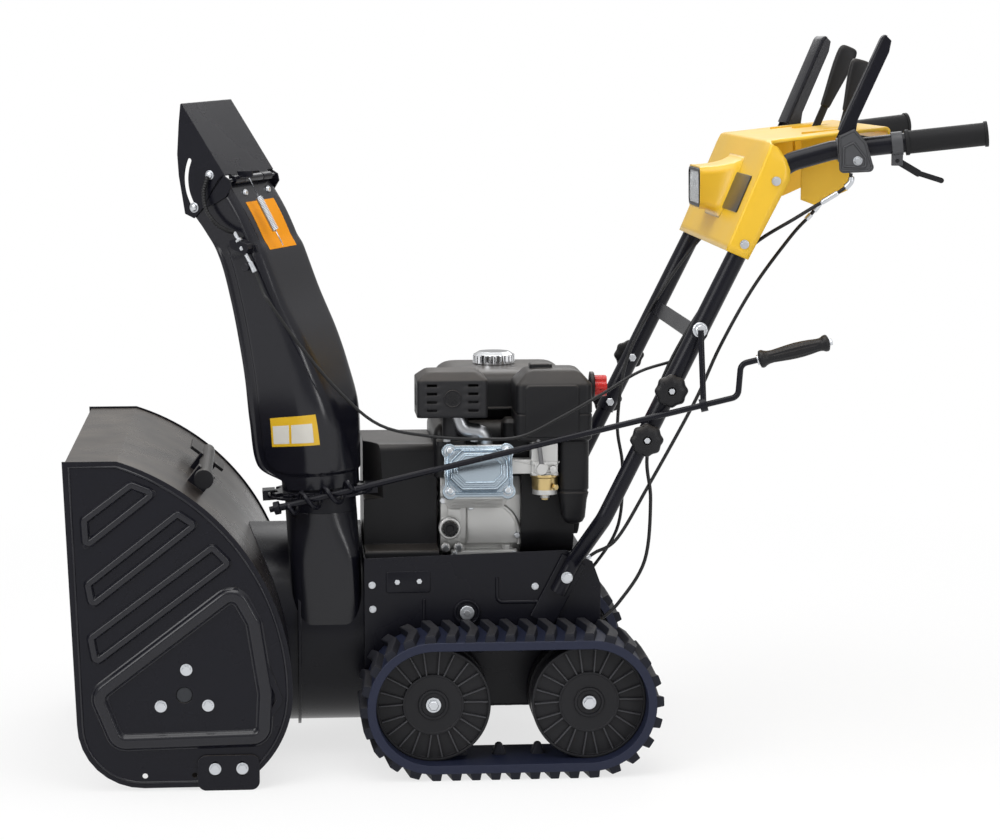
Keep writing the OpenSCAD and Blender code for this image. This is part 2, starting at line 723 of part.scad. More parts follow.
// Carries children to distance s along the loop, their z axis pointing outwards
module on_loop(s) {
  arc = PI * band_r;
  if (s < run_l) translate([front_x + s, 0, wheel_z + band_r]) children();
  else if (s < run_l + arc)
    translate([rear_x, 0, wheel_z]) rotate([0, (s - run_l) / arc * 180, 0])
      translate([0, 0, band_r]) children();
  else if (s < 2 * run_l + arc)
    translate([rear_x - (s - run_l - arc), 0, wheel_z - band_r]) rotate([0, 180, 0]) children();
  else
    translate([front_x, 0, wheel_z]) rotate([0, 180 + (s - 2 * run_l - arc) / arc * 180, 0])
      translate([0, 0, band_r]) children();
}
lug_half = 6.5;
chevron = 11;
lug_root = 2.5;
drive_lug_h = 13;
lug_in = wheel_in + wheel_w / 2 - wheel_mid;
module track(side) color("#1a1a1c") translate([0, side * wheel_mid, 0]) difference() {
  track_loop(side);
  translate([2 * mouth_x, -track_w, -lug_h]) cube([-4 * mouth_x, 2 * track_w, lug_h]);
}
module track_loop(side) {
  slab(-track_w / 2, track_w / 2) difference() {
    loop2d(band_r);
    loop2d(wheel_r + slide_gap);
  }
  for (i = [0 : lugs - 1]) on_loop(loop_l * i / lugs) translate([0, 0, -lug_root])
    linear_extrude(height = lug_h + lug_root) polygon([
      [-lug_half - chevron / 2, -track_w / 2 + 1], [lug_half - chevron / 2, -track_w / 2 + 1],
      [lug_half + chevron / 2, 0], [lug_half - chevron / 2, track_w / 2 - 1],
      [-lug_half - chevron / 2, track_w / 2 - 1], [-lug_half + chevron / 2, 0]
    ]);
  for (i = [0 : drive_lugs - 1]) on_loop(loop_l * (i + 0.25) / drive_lugs)
    translate([-8, side * lug_in - 10, -band_t - drive_lug_h])
      cube([16, 20, drive_lug_h + band_t - 2]);
}
module left_track() track(-1);
module right_track() track(1);

// Track wheel: hub, ribbed web and a rim in two halves with the drive lugs' groove between
ribs = 18;
rib_t = 5;
groove_half = 17;
module wheel(x, side, bore) {
  translate([x, side * (wheel_in + wheel_w / 2), wheel_z]) rotate([90, 0, 0]) {
    rotate_extrude() difference() {
      union() {
        translate([bore, -wheel_w / 2]) square([30 - bore, wheel_w]);
        translate([28, -groove_half]) square([50, 2 * groove_half]);
        translate([76, -wheel_w / 2]) square([wheel_r - 76, wheel_w]);
      }
      translate([wheel_r - drive_lug_h - 6, -groove_half + 3]) square([40, 2 * groove_half - 6]);
    }
    for (i = [0 : ribs - 1]) rotate(360 * (i + 0.5) / ribs)
      for (a = [-wheel_w / 2 + 4, groove_half - 1])
        translate([26, -rib_t / 2, a]) cube([53, rib_t, wheel_w / 2 - groove_half - 3]);
  }
}
shaft_in = chassis_y - 60;
module front_wheel(side) color("#232327") {
  wheel(front_x, side, axle_r - eps);
  rod([front_x, side * shaft_in, wheel_z], [front_x, side * (wheel_in + wheel_w + 2), wheel_z], axle_r);
  bolt([front_x, side * (wheel_in + wheel_w + 2), wheel_z], near(side, 1), 15, 7);
}
module left_front_wheel() front_wheel(-1);
module right_front_wheel() front_wheel(1);
module left_rear_wheel() color("#232327") wheel(rear_x, -1, axle_r + run_gap);
module right_rear_wheel() color("#232327") wheel(rear_x, 1, axle_r + run_gap);

// Friction drive in the chassis: a belted disc and a rubber-rimmed wheel that slides across it
disc_r = 70;
disc_t = 8;
friction_r = 54;
friction_w = 16;
disc_face = hex_x - friction_r - slide_gap;
module drive_disc() color("#8b8d90") {
  lying([disc_face - disc_t, 0, hex_z]) cylinder(r = disc_r, h = disc_t);
  lying([drive_x, 0, hex_z]) grooved_pulley(drive_pulley_r, 1, 9, 20);
  lying([drive_x - 12, 0, hex_z]) cylinder(r = 10, h = disc_face - drive_x + 12);
}
hex_af = 16;
module hex_shaft() color("#909296") {
  rod([hex_x, -chassis_y + 1, hex_z], [hex_x, chassis_y - 1, hex_z], hex_shaft_r - 1.5);
  for (side = [-1, 1])
    along([hex_x, side * (chassis_y + 4), hex_z], [0, -side, 0])
      cylinder(r = hex_shaft_r, h = boss_l + 8);
  translate([hex_x, 0, hex_z]) rotate([90, 0, 0])
    cylinder(d = hex_af / cos(30), h = 2 * (chassis_y - boss_l - 6), center = true, $fn = 6);
  for (side = [-1, 1]) bolt([hex_x, side * (chassis_y + 3.5), hex_z], near(side, 1), 10, 5);
}
friction_y = 34;
module friction_wheel() color("#2b2b2e") translate([hex_x, friction_y, hex_z]) rotate([90, 0, 0])
  difference() {
  union() {
    cylinder(r = friction_r, h = friction_w, center = true);
    cylinder(r = 20, h = friction_w + 18, center = true);
  }
  cylinder(d = hex_af / cos(30) + 2 * slide_gap, h = 60, center = true, $fn = 6);
}

// Cast crankcase on the deck, with its foot flange, oil filler and dipstick cap
case_half_x = 68;
case_top = 150;
case_y = [-104, 112];
case_front = engine_x - case_half_x;
case_back = engine_x + case_half_x;
module crankcase() color("#c9c9c6") difference() {
  union() {
    translate([case_front + 20, case_y[0] - 8, deck_z])
      cube([2 * case_half_x - 32, case_y[1] - case_y[0] + 16, 14]);
    cross_slab(case_front, case_back)
      plate2d([case_y[0] + 6, deck_z], [case_y[1], deck_z + case_top], 34);
    cross_slab(case_front + 12, case_front + 34)
      plate2d([case_y[0] - 2, deck_z], [case_y[1] + 4, deck_z + case_top + 6], 36);
    translate([case_front + 14, case_y[0] + 10, deck_z + 54]) rotate([90, 0, 0])
      cylinder(r = 17, h = 24);
    translate([case_front + 14, case_y[0] - 12, deck_z + 54]) rotate([90, 0, 0])
      cylinder(r = 12, h = 8);
    for (x = [case_front + 34, case_back - 24])
      translate([x, case_y[0] - 4, deck_z + 14]) cylinder(d = 15, h = 8, $fn = 6);
  }
  lying([case_front - 1, 0, crank_z])
    cylinder(r = crank_shaft_r + run_gap, h = 44);
  at_cylinder(cylinder_from) translate([-case_half_x * 2, -case_top, 0])
    cube([4 * case_half_x, 2 * case_top, case_top]);
}

// Finned cylinder leaning to the left of the crankcase
lean_dir = [0, -cos(cylinder_lean), sin(cylinder_lean)];
lean_up = [0, sin(cylinder_lean), cos(cylinder_lean)];
head_x = -76;
bore_w = 104;
bore_h = 92;
cylinder_from = 96;
head_at = 196;
fins = 7;
// Carries children along the leaning cylinder: their z axis runs out, their y axis up
module at_cylinder(l) translate([head_x, 0, crank_z]) translate(lean_dir * l)
  multmatrix([
    [1, 0, 0, 0],
    [0, lean_up.y, lean_dir.y, 0],
    [0, lean_up.z, lean_dir.z, 0],
    [0, 0, 0, 1]
  ]) children();
fin_t = 3;
module cylinder_block() color("#a9aaac") {
  at_cylinder(cylinder_from) linear_extrude(height = head_at - cylinder_from)
    plate2d([-bore_w / 2 + 9, -bore_h / 2 + 9], [bore_w / 2 - 9, bore_h / 2 - 9], 16);
  for (i = [0 : fins - 1])
    at_cylinder(cylinder_from + 14 + i * (head_at - cylinder_from - 17) / (fins - 1))
      linear_extrude(height = fin_t)
        plate2d([-bore_w / 2, -bore_h / 2], [bore_w / 2, bore_h / 2], 12);
}

// Pressed valve cover: a flange with bolt ears and a raised dome with cut corners
cover_w = 122;
cover_h = 94;
dome_h = 22;
ear_r = 13;
function eight_sided(w, h, c) = [
  [-w / 2 + c, -h / 2], [w / 2 - c, -h / 2], [w / 2, -h / 2 + c], [w / 2, h / 2 - c],
  [w / 2 - c, h / 2], [-w / 2 + c, h / 2], [-w / 2, h / 2 - c], [-w / 2, -h / 2 + c]
];
module valve_cover() color("#b9c6cf") at_cylinder(head_at) {
  linear_extrude(height = 8) {
    polygon(eight_sided(cover_w - 8, cover_h - 8, 16));
    for (x = [-1, 1], y = [-1, 1])
      translate([x * (cover_w / 2 - ear_r), y * (cover_h / 2 - ear_r)]) circle(r = ear_r);
  }
  translate([0, 0, 7]) linear_extrude(height = dome_h - 6)
    polygon(eight_sided(cover_w - 24, cover_h - 24, 20));
  translate([0, 0, dome_h]) linear_extrude(height = 5)
    polygon(eight_sided(cover_w - 40, cover_h - 40, 16));
  for (x = [-1, 1], y = [-1, 1])
    translate([x * (cover_w / 2 - ear_r), y * (cover_h / 2 - ear_r), 7])
      cylinder(d = 14, h = 8, $fn = 6);
}

// Muffler in its slotted guard, standing on the exhaust pipe
muffler_x = [-178, -60];
muffler_y = [-190, -84];
muffler_z = [584, 660];
guard_t = 2.5;
slot_h = 4.5;
slot_step = 14;
grille_r = 15;
pipe_at = [-120, -150];
module guard2d(g) polygon([
  [muffler_y[0] + g, muffler_z[0] + g], [muffler_y[1] - g, muffler_z[0] + g], [muffler_y[1] - g,
    muffler_z[1] - g],
  [muffler_y[0] + 26 + g, muffler_z[1] - g], [muffler_y[0] + g, muffler_z[1] - 20 - g]
]);
module muffler() color("#26262a") {
  difference() {
    cross_slab(muffler_x[0], muffler_x[1]) guard2d(0);
    for (x = [muffler_x[0] + 16, muffler_x[1] - 40], i = [0 : 3])
      translate([x, muffler_y[0] - eps, muffler_z[0] + 10 + i * slot_step])
        cube([24, guard_t + eps, slot_h]);
    translate([(muffler_x[0] + muffler_x[1]) / 2, muffler_y[0] - eps, muffler_z[0] + 30])
      rotate([-90, 0, 0]) difference() {
        cylinder(r = grille_r, h = guard_t + eps);
        cylinder(r = grille_r - 4, h = guard_t + eps);
      }
    for (x = [muffler_x[0] + 34, muffler_x[1] - 34])
      slab(muffler_y[0] + 40, muffler_y[0] + 46)
        bar2d([x - 12, muffler_z[1]], [x + 12, muffler_z[1]], 5);
  }
  translate([pipe_at.x, pipe_at.y, pipe_z]) cylinder(r = 15, h = muffler_z[0] - pipe_z + eps);
  translate([pipe_at.x - 24, pipe_at.y - 20, pipe_z]) cube([48, 40, 8]);
}
// Seat of the exhaust flange: the highest point of the cylinder's fins beside the pipe
pipe_z = crank_z + (-pipe_at.y + 20) / cos(cylinder_lean) * sin(cylinder_lean)
  + bore_h / 2 / cos(cylinder_lean);

// Pressed fuel tank over the engine, with the filler neck
tank_x = [-140, 102];
tank_y = [-66, 178];
tank_z = [560, 648];
cap_at = [-31, 56];
cap_r = 35;
neck_r = 26;
module fuel_tank() color("#1f1f22") difference() {
  union() {
    translate([0, 0, tank_z[0] + 10]) linear_extrude(height = tank_z[1] - tank_z[0] - 22)
      plate2d([tank_x[0], tank_y[0]], [tank_x[1], tank_y[1]], 30);
    translate([0, 0, tank_z[0]]) linear_extrude(height = tank_z[1] - tank_z[0] - 6)
      plate2d([tank_x[0] + 10, tank_y[0] + 10], [tank_x[1] - 10, tank_y[1] - 10], 26);
    translate([0, 0, tank_z[0] + 6]) linear_extrude(height = tank_z[1] - tank_z[0] - 6)
      plate2d([tank_x[0] + 22, tank_y[0] + 22], [tank_x[1] - 22, tank_y[1] - 22], 22);
    translate([cap_at.x, cap_at.y, tank_z[1] - eps]) cylinder(r = neck_r, h = 12);
    for (y = [tank_y[0] + 40, tank_y[1] - 50])
      translate([engine_x - 10, y, deck_z + case_top - 20])
        cube([40, 16, tank_z[0] - deck_z - case_top + 21]);
  }
  translate([cap_at.x, cap_at.y, tank_z[1] - 40]) cylinder(r = neck_r - 3, h = 60);
  cross_slab(case_front - 1, case_back + 1)
    plate2d([case_y[0] + 6, deck_z], [case_y[1], deck_z + case_top], 34);
  cross_slab(case_front + 11, case_front + 35)
    plate2d([case_y[0] - 2, deck_z], [case_y[1] + 4, deck_z + case_top + 6], 36);
}
module fuel_cap() color("#d5d7da") translate([cap_at.x, cap_at.y, tank_z[1]]) difference() {
  union() {
    translate([0, 0, slide_gap]) cylinder(r = cap_r, h = 16);
    translate([0, 0, 16]) cylinder(r1 = cap_r, r2 = cap_r - 8, h = 5);
    for (i = [0 : 23]) rotate(15 * i) translate([cap_r, 0, slide_gap]) cylinder(r = 1.8, h = 15);
  }
  translate([0, 0, -1]) cylinder(r = neck_r + slide_gap, h = 1 + 12 + slide_gap);
}

// Air cleaner box at the left rear, with the choke spindle boss
box_x = [-12, 116];
box_y = [-190, -70];
box_z = [540, 662];
knob_at = [-140, 630];
knob_r = 18;
spindle_r = 5;
boss_x = 123;
module air_box() color("#222225") difference() {
  union() {
    translate([0, 0, box_z[0]]) linear_extrude(height = box_z[1] - box_z[0] - 12)
      plate2d([box_x[0], box_y[0]], [box_x[1], box_y[1]], 14);
    translate([0, 0, box_z[0]]) linear_extrude(height = box_z[1] - box_z[0])
      plate2d([box_x[0] + 10, box_y[0] + 10], [box_x[1] - 10, box_y[1] - 10], 14);
    translate([0, 0, box_z[0] - 74]) linear_extrude(height = 76)
      plate2d([box_x[1] - 50, box_y[0] + 14], [box_x[1] - 8, -122], 12);
    lying([box_x[1] - eps, knob_at.x, knob_at.y])
      cylinder(r = 24, h = boss_x - box_x[1] + eps);
    translate([box_x[0] + 24, (box_y[0] + box_y[1]) / 2, box_z[1] - eps]) linear_extrude(height = 6)
      plate2d([0, -10], [36, 10], 6);
  }
  lying([boss_x - 30, knob_at.x, knob_at.y]) cylinder(r = spindle_r + run_gap, h = 40);
}
module choke_knob() color("#d0221c") lying([boss_x + slide_gap, knob_at.x, knob_at.y]) {
  translate([0, 0, -26]) cylinder(r = spindle_r, h = 27);
  difference() {
    cylinder(r = knob_r, h = 20);
    for (i = [0 : 5]) rotate(60 * i) translate([knob_r + 4, 0, -1]) cylinder(r = 7, h = 22);
  }
}

// Carburettor under the air box, with its float bowl
bowl_at = [38, -160];
bowl_r = 21;
module carburetor() color("#b5a26a") {
  translate([bowl_at.x, bowl_at.y, 443]) cylinder(r = 8, h = 10);
  translate([bowl_at.x, bowl_at.y, 450]) cylinder(r = bowl_r, h = 32);
  translate([bowl_at.x, bowl_at.y, 480]) cylinder(r = bowl_r + 3, h = 5);
  translate([bowl_at.x - 24, bowl_at.y - 18, 484]) cube([44, 40, box_z[0] - 484]);
  translate([head_x + bore_w / 2, bowl_at.y - 12, 486])
    cube([bowl_at.x - 22 - head_x - bore_w / 2, 24, 24]);
}

// Fan housing at the back of the engine with the recoil dome
shroud_x = [case_back, 92];
module recoil_cover() color("#1d1d20") {
  cross_slab(shroud_x[0], shroud_x[1]) plate2d([-118, deck_z + 4], [122, deck_z + 190], 46);
  lying([shroud_x[1] - eps, 0, crank_z]) cylinder(r = 74, h = 17);
  lying([shroud_x[1] + 14, 0, crank_z]) cylinder(r = 46, h = 12);
  translate([shroud_x[0] + 30, 84, deck_z + 180]) cube([30, 34, 28]);
}

// Toothed ring and collar that turn on the fixed tube
ring_t = 4;
ring_low = -9 + slide_gap;
collar_in = base_r + slide_gap;
collar_out = collar_in + sheet_t;
collar_h = 55;
notch_w = 21;
notch_d = 12;
module chute_ring() color("#3b3c40") at_chute() difference() {
  union() {
    translate([0, 0, ring_low]) cylinder(r = ring_r, h = ring_t);
    translate([0, 0, ring_low]) cylinder(r = collar_out, h = collar_h - ring_low);
  }
  translate([0, 0, ring_low - eps]) cylinder(r = collar_in, h = collar_h + 20);
  for (i = [0 : ring_teeth - 1]) rotate(-90 + 360 * i / ring_teeth)
    translate([ring_r - notch_d, -notch_w / 2, ring_low - eps])
      cube([notch_d + 4, notch_w, ring_t + 2 * eps]);
}

// Chute channel: back edge and front edge of its side view, forward distance and height over the ring
channel_back = [
  [-67.4, 1], [-67.4, 16], [-67.2, 45], [-60, 129], [-38, 200],
  [-15, 261], [15, 329], [42, 405], [67, 464], [97, 517]
];
channel_front = [
  [22, 1], [32, 16], [77, 44], [82, 119], [84, 190],
  [90, 250], [100, 320], [116, 392], [141, 438], [168, 476]
];
channel_half = [67.4, 67.4, 68, 75, 77, 77, 77, 77, 77, 77];
channel_corner = [66.5, 66.5, 64, 48, 34, 24, 18, 16, 14, 14];
channel_spans = 2;
corner_steps = 6;
// Half outline of a U section: straight side, round corner, reaching the middle of the back
function u_half(l, w, r) = concat(
  [[l, w]],
  [for (i = [0 : corner_steps]) let (a = 90 * i / corner_steps)
    [r - r * sin(a), w - r + r * cos(a)]]
);
function u_shape(l, w, r) = let (h = u_half(l, w, r), n = len(h))
  concat([for (q = h) [q.x, q.y]], [for (i = [n - 1 : -1 : 0]) [h[i].x, -h[i].y]]);
function u_wall(l, w, r) = let (
  outer = u_shape(l, w, r),
  inner = [for (q = u_shape(l - sheet_t, w - sheet_t, r - sheet_t)) [q.x + sheet_t, q.y]],
  n = len(inner)
) concat(outer, [for (i = [n - 1 : -1 : 0]) inner[i]]);
module chute_channel() {
  b = spline(channel_back, channel_spans);
  f = spline(channel_front, channel_spans);
  halves = spline([for (v = channel_half) [v, 0]], channel_spans);
  corners = spline([for (v = channel_corner) [v, 0]], channel_spans);
  rows = [for (i = [0 : len(b) - 1]) let (d = unit(f[i] - b[i]))
    [for (q = u_wall(norm(f[i] - b[i]), halves[i].x, corners[i].x))
      [-(b[i].x + d.x * q.x), q.y, b[i].y + d.y * q.x]]];
  n = len(rows[0]);
  m = len(rows);
  half_n = n / 2;
  walls = [for (i = [0 : m - 2], j = [0 : n - 1]) let (
    a = i * n + j, c = i * n + (j + 1) % n
  ) each [[a, c, a + n], [c, c + n, a + n]]];
  ends = [for (j = [0 : half_n - 2]) let (a = j, c = j + 1, p = n - 1 - j, q = n - 2 - j,
    e = (m - 1) * n)
    each [[a, p, c], [c, p, q], [e + a, e + c, e + p], [e + c, e + q, e + p]]];
  polyhedron([for (r = rows) each r], concat(walls, ends));
}

// Deflector hinge, behind the top edge of the chute's back
hinge_u = 92;
hinge_z = 522;
hinge_pin_r = 3.5;
knuckle_r = 7;
stud_u = 158;
stud_z = 480;
stud_r = 3.6;
wing_gap = 1;
wing_t = 2.5;
wing_in = chute_half_w + wing_gap;
module on_chute() at_chute() rotate(chute_rest) children();
module across(u, z, v0, v1, r) translate([-u, v0, z]) rotate([-90, 0, 0]) cylinder(r = r, h = v1 - v0);
spring_v = -30;
spring_low = [22, 410];
spring_high = [68, 530];
module chute() color("#1c1d23") on_chute() {
  chute_channel();
  across(hinge_u, hinge_z, -30, 30, knuckle_r);
  across(hinge_u, hinge_z, -chute_half_w, chute_half_w, hinge_pin_r);
  for (side = [-1, 1]) {
    along([-stud_u, side * (chute_half_w - 2), stud_z], [0, side, 0])
      cylinder(r = stud_r, h = wing_gap + wing_t + 3);
    along([-stud_u, side * (wing_in + wing_t + slide_gap), stud_z], [0, side, 0])
      cylinder(r = 7, h = 4);
  }
  slab(-30, 30) bar2d([7.5 - hinge_u, hinge_z - 23], [-hinge_u, hinge_z - 3], 6);
  across(60, 380, -96, -chute_half_w + 1, 7);
  slab(spring_v - 2, spring_v + 2) polygon([
    [-spring_low.x + 4, spring_low.y - 9], [-spring_low.x + 4, spring_low.y + 5],
    [-46, spring_low.y + 16], [-42, spring_low.y - 10]
  ]);
}

// Deflector hood: a back panel on hinge knuckles and two wings outside the chute's walls
tip = [171, 652];
wing = [
  [97, 531], [171, 652], [177, 620], [184, 570], [184, 534], [177, 470], [160, 462], [140, 480],
    [118, 508]
];
stud_d = norm([stud_u - hinge_u, stud_z - hinge_z]);
stud_a = atan2(stud_z - hinge_z, stud_u - hinge_u);
deflector_travel = 60;
panel_dir = unit(tip - [hinge_u, hinge_z]);
panel_l = norm(tip - [hinge_u, hinge_z]);
module wing_slot2d() translate([hinge_u, hinge_z]) {
  intersection() {
    difference() {
      circle(r = stud_d + stud_r + slide_gap);
      circle(r = stud_d - stud_r - slide_gap);
    }
    polygon([
      [0, 0], 2 * stud_d * [cos(stud_a), sin(stud_a)],
      2 * stud_d * [cos(stud_a + deflector_travel), sin(stud_a + deflector_travel)]
    ]);
  }
  for (a = [stud_a, stud_a + deflector_travel])
    translate(stud_d * [cos(a), sin(a)]) circle(r = stud_r + slide_gap);
}
module deflector() color("#1b1b20") on_chute() mirror([1, 0, 0]) {
  for (side = [-1, 1]) {
    y0 = side < 0 ? -wing_in - wing_t : wing_in;
    slab(y0, y0 + wing_t) difference() {
      polygon(wing);
      wing_slot2d();
    }
  }
  translate([hinge_u, 0, hinge_z]) rotate([0, -atan2(panel_dir.y, panel_dir.x), 0]) {
    translate([10, -wing_in - wing_t, 0]) cube([panel_l - 10, 2 * (wing_in + wing_t), wing_t]);
    for (side = [-1, 1]) difference() {
      union() {
        translate([0, side * 46, 0]) rotate([90, 0, 0])
          cylinder(r = knuckle_r, h = 28, center = true);
        translate([0, side * 46 - 14, 0]) cube([14, 28, wing_t]);
      }
      translate([0, side * 46, 0]) rotate([90, 0, 0])
        cylinder(r = hinge_pin_r + run_gap, h = 30, center = true);
    }
  }
  slab(-46, -42) difference() {
    polygon([[hinge_u - 4, hinge_z + 4], [hinge_u, hinge_z + 14], [spring_high.x - 5,
      spring_high.y + 6],
      [spring_high.x - 5, spring_high.y - 4]]);
    translate([hinge_u, hinge_z]) circle(r = hinge_pin_r + run_gap);
  }
}

// Return spring of the deflector: one wire, close hooks left straight
spring_turns = 14;
spring_r = 6;
spring_wire_r = 0.9;
rings_per_turn = 8;
spring_v_high = -44;
module deflector_spring() color("#c9ccd0") on_chute() {
  a = [-spring_low.x + 2, spring_v - 3.5, spring_low.y];
  b = [-spring_high.x, spring_v_high - 3.5, spring_high.y - 6];
  d = unit(b - a);
  e1 = square_to(d);
  e2 = cross(d, e1);
  n = spring_turns * rings_per_turn;
  l = norm(b - a);
  coil = [for (i = [0 : n]) a + d * l * (0.12 + 0.76 * i / n)
    + spring_r * (cos(360 * i / rings_per_turn) * e1 + sin(360 * i / rings_per_turn) * e2)];
  pitch = 0.76 * l / spring_turns;
  echo(spring_gap = pitch * cos(atan(pitch / (2 * PI * spring_r))) - 2 * spring_wire_r);
  sweep(concat([a, a + d * l * 0.06], coil, [b - d * l * 0.06, b]), spring_wire_r, 6);
}

// Crank: a rod with a wire worm at the ring, a support eye, and an offset handle
crank_r = 5;
worm_wire_r = 4;
worm_out = 19;
worm_coil_r = worm_out - worm_wire_r;
mesh_depth = 8;
mesh_r = ring_r + worm_out - mesh_depth;
ring_mid = ring_low + ring_t / 2;
mesh_at = chute_at + [-ring_mid * sin(chute_lean), -mesh_r, ring_mid * cos(chute_lean)];
eye_at = [287, -288, 614];
crank_dir = unit(eye_at - mesh_at);
crank_front_l = 88;
crank_start = mesh_at - crank_dir * crank_front_l;
crank_elbow = eye_at + crank_dir * 58;
crank_top = crank_elbow + [4, -1, 54];
grip_l = 118;
grip_start = crank_top + unit([142, -16, 36]) * 30;
grip_dir = unit([142, -16, 36]);
crank_end = grip_start + grip_dir * (grip_l + 2);
worm_turns = 3;
worm_rings = 12;
function worm_radius(t) = worm_coil_r * min(1, 5 * t, 5 * (worm_turns - t));
module crank_rod() color("#141416") {
  sweep(bent_line([crank_start, crank_elbow, crank_top, crank_end], 14, 5), crank_r, 16);
  n = worm_turns * worm_rings;
  in = unit([0, 1, 0] - crank_dir * crank_dir.y);
  up = cross(crank_dir, in);
  sweep([for (i = [0 : n]) let (t = i / worm_rings, a = 360 * (t - worm_turns / 2))
    mesh_at + crank_dir * worm_pitch * (t - worm_turns / 2)
      + worm_radius(t) * (cos(a) * in + sin(a) * up)], worm_wire_r, 6);
}
module crank_grip() color("#202024") along(grip_start, grip_dir) difference() {
  union() {
    cylinder(r1 = 15, r2 = 12, h = 12);
    translate([0, 0, 11]) cylinder(r = 12, h = grip_l - 22);
    translate([0, 0, grip_l - 12]) cylinder(r1 = 12, r2 = 14, h = 10);
    for (i = [0 : 5]) translate([0, 0, 22 + 14 * i]) rotate_extrude() translate([12, 0])
      circle(r = 2.2);
  }
  translate([0, 0, -1]) cylinder(r = crank_r + run_gap, h = grip_l + 2);
}

// Brackets of the chute drive: ring clamps, worm bearing on the tube and the eye bolt on the handle
clamp_angles = [180, 0, 90];
clamp_w = 34;
lip_z = ring_low + ring_t + slide_gap;
ear_from = crank_front_l - 8;
module ring_clamp() difference() {
  translate([ring_r - 8, -clamp_w / 2, -18]) cube([flange_r + 8 - ring_r + 8, clamp_w, lip_z + 3 + 18]);
  translate([0, 0, -9 - flange_t]) cylinder(r = flange_r + slide_gap, h = lip_z + 9 + flange_t);
}
module chute_brackets() color("#8f9195") {
  at_chute() for (a = clamp_angles) rotate(a) ring_clamp();
  difference() {
    union() {
      along(mesh_at - crank_dir * ear_from, crank_dir) cylinder(r = 11, h = 9);
      rod(mesh_at - crank_dir * (ear_from - 4.5), [chute_x - 30, chute_y - 20, mesh_at.z - 22], 6);
    }
    rod(crank_start - crank_dir * 20, mesh_at, crank_r + run_gap);
    at_chute() translate([0, 0, -200]) cylinder(r = base_r, h = 260);
  }
  difference() {
    union() {
      along(eye_at - crank_dir * 6, crank_dir) cylinder(r = 11, h = 12);
      rod(eye_at, eye_top + [0, -14, crank_r], crank_r);
      rod(eye_top + [0, -16, 0], eye_top, crank_r - 1);
      along(eye_top + [0, -6, 0], [0, 1, 0]) cylinder(r = 13, h = 6);
    }
    rod(eye_at - crank_dir * 40, eye_at + crank_dir * 40, crank_r + run_gap);
  }
}

// Handle frame: lower tubes bolted to the chassis, upper tubes sleeved over them and welded to a strap
function sided(p, side) = [p.x, side * p.y, p.z];
function all_sided(l, side) = [for (p = l) sided(p, side)];
upper_r = lower_tube_r + slide_gap + upper_wall;
tube_low = [128, handle_y, 420];
tube_corner = [420, handle_y, 1006];
tube_dir = unit(tube_corner - tube_low);
function tube_at(z) = tube_low + tube_dir * ((z - tube_low.z) / tube_dir.z);
rise = [500, 253, 1028];
grip_end = [750, 292, 1056];
grip_line = unit(grip_end - rise);
grip_yaw = atan2(grip_line.y, grip_line.x);
sleeve_low = 540;
sleeve_in = 672;
foot_bolt = [70, 316];
tube_foot = [56, chassis_y + lower_tube_r, 288];
tube_knee = [82, chassis_y + lower_tube_r, 340];
strap_z = 726;
strap_w = 40;
strap_t = 4;
end_cap = 4;
eye_top = sided(tube_at(731) + [0, upper_r, 0], -1);
tube_sides = 24;
module lower_handles() color("#1a1a1d") for (side = [-1, 1])
  sweep(bent_line(all_sided([tube_foot, tube_knee, tube_low, tube_at(sleeve_in)], side), 40, 4),
    lower_tube_r, tube_sides);
module upper_handles() color("#1a1a1d") {
  for (side = [-1, 1]) sweep(bent_line(
    all_sided([tube_at(sleeve_low), tube_corner, rise, grip_end - grip_line * end_cap], side), 55, 6),
    upper_r, tube_sides, upper_wall);
  translate([tube_at(strap_z).x, 0, strap_z]) rotate([0, atan2(tube_dir.x, tube_dir.z), 0])
    cube([strap_t, 2 * (handle_y - upper_r - run_gap), strap_w], center = true);
}
grip_sleeve = 134;
module handle_grips() color("#161618") for (side = [-1, 1])
  along(sided(grip_end, side), -sided(grip_line, side)) difference() {
    union() {
      cylinder(r = grip_r, h = grip_sleeve);
      cylinder(r = grip_r + 2, h = 5);
      translate([0, 0, grip_sleeve - 6]) cylinder(r = grip_r + 2, h = 6);
    }
    translate([0, 0, end_cap]) cylinder(r = upper_r + run_gap, h = grip_sleeve);
  }

// Star knobs that clamp the telescoped tubes, with their bolt heads inside
knob_z = [555, 636];
knob_lobes = 8;
module handle_knobs() color("#242427") for (side = [-1, 1], z = knob_z) {
  p = sided(tube_at(z), side);
  difference() {
    along(p, near(side, 1)) {
      cylinder(r = 12, h = upper_r + 5);
      difference() {
        translate([0, 0, upper_r + 4]) {
          cylinder(r = 19, h = 17);
          for (i = [0 : knob_lobes - 1]) rotate(360 * i / knob_lobes)
            translate([18, 0, 0]) cylinder(r = 5.5, h = 14, $fn = 24);
        }
        translate([0, 0, upper_r + 17]) cylinder(r = 10, h = 10);
      }
      translate([0, 0, upper_r + 10]) cylinder(r = 6, h = 9);
    }
    rod(p - tube_dir_side(side) * 40, p + tube_dir_side(side) * 40, upper_r);
  }
  bolt(p - near(side, upper_r), near(side, -1), 13, 6);
}
function tube_dir_side(side) = sided(tube_dir, side);

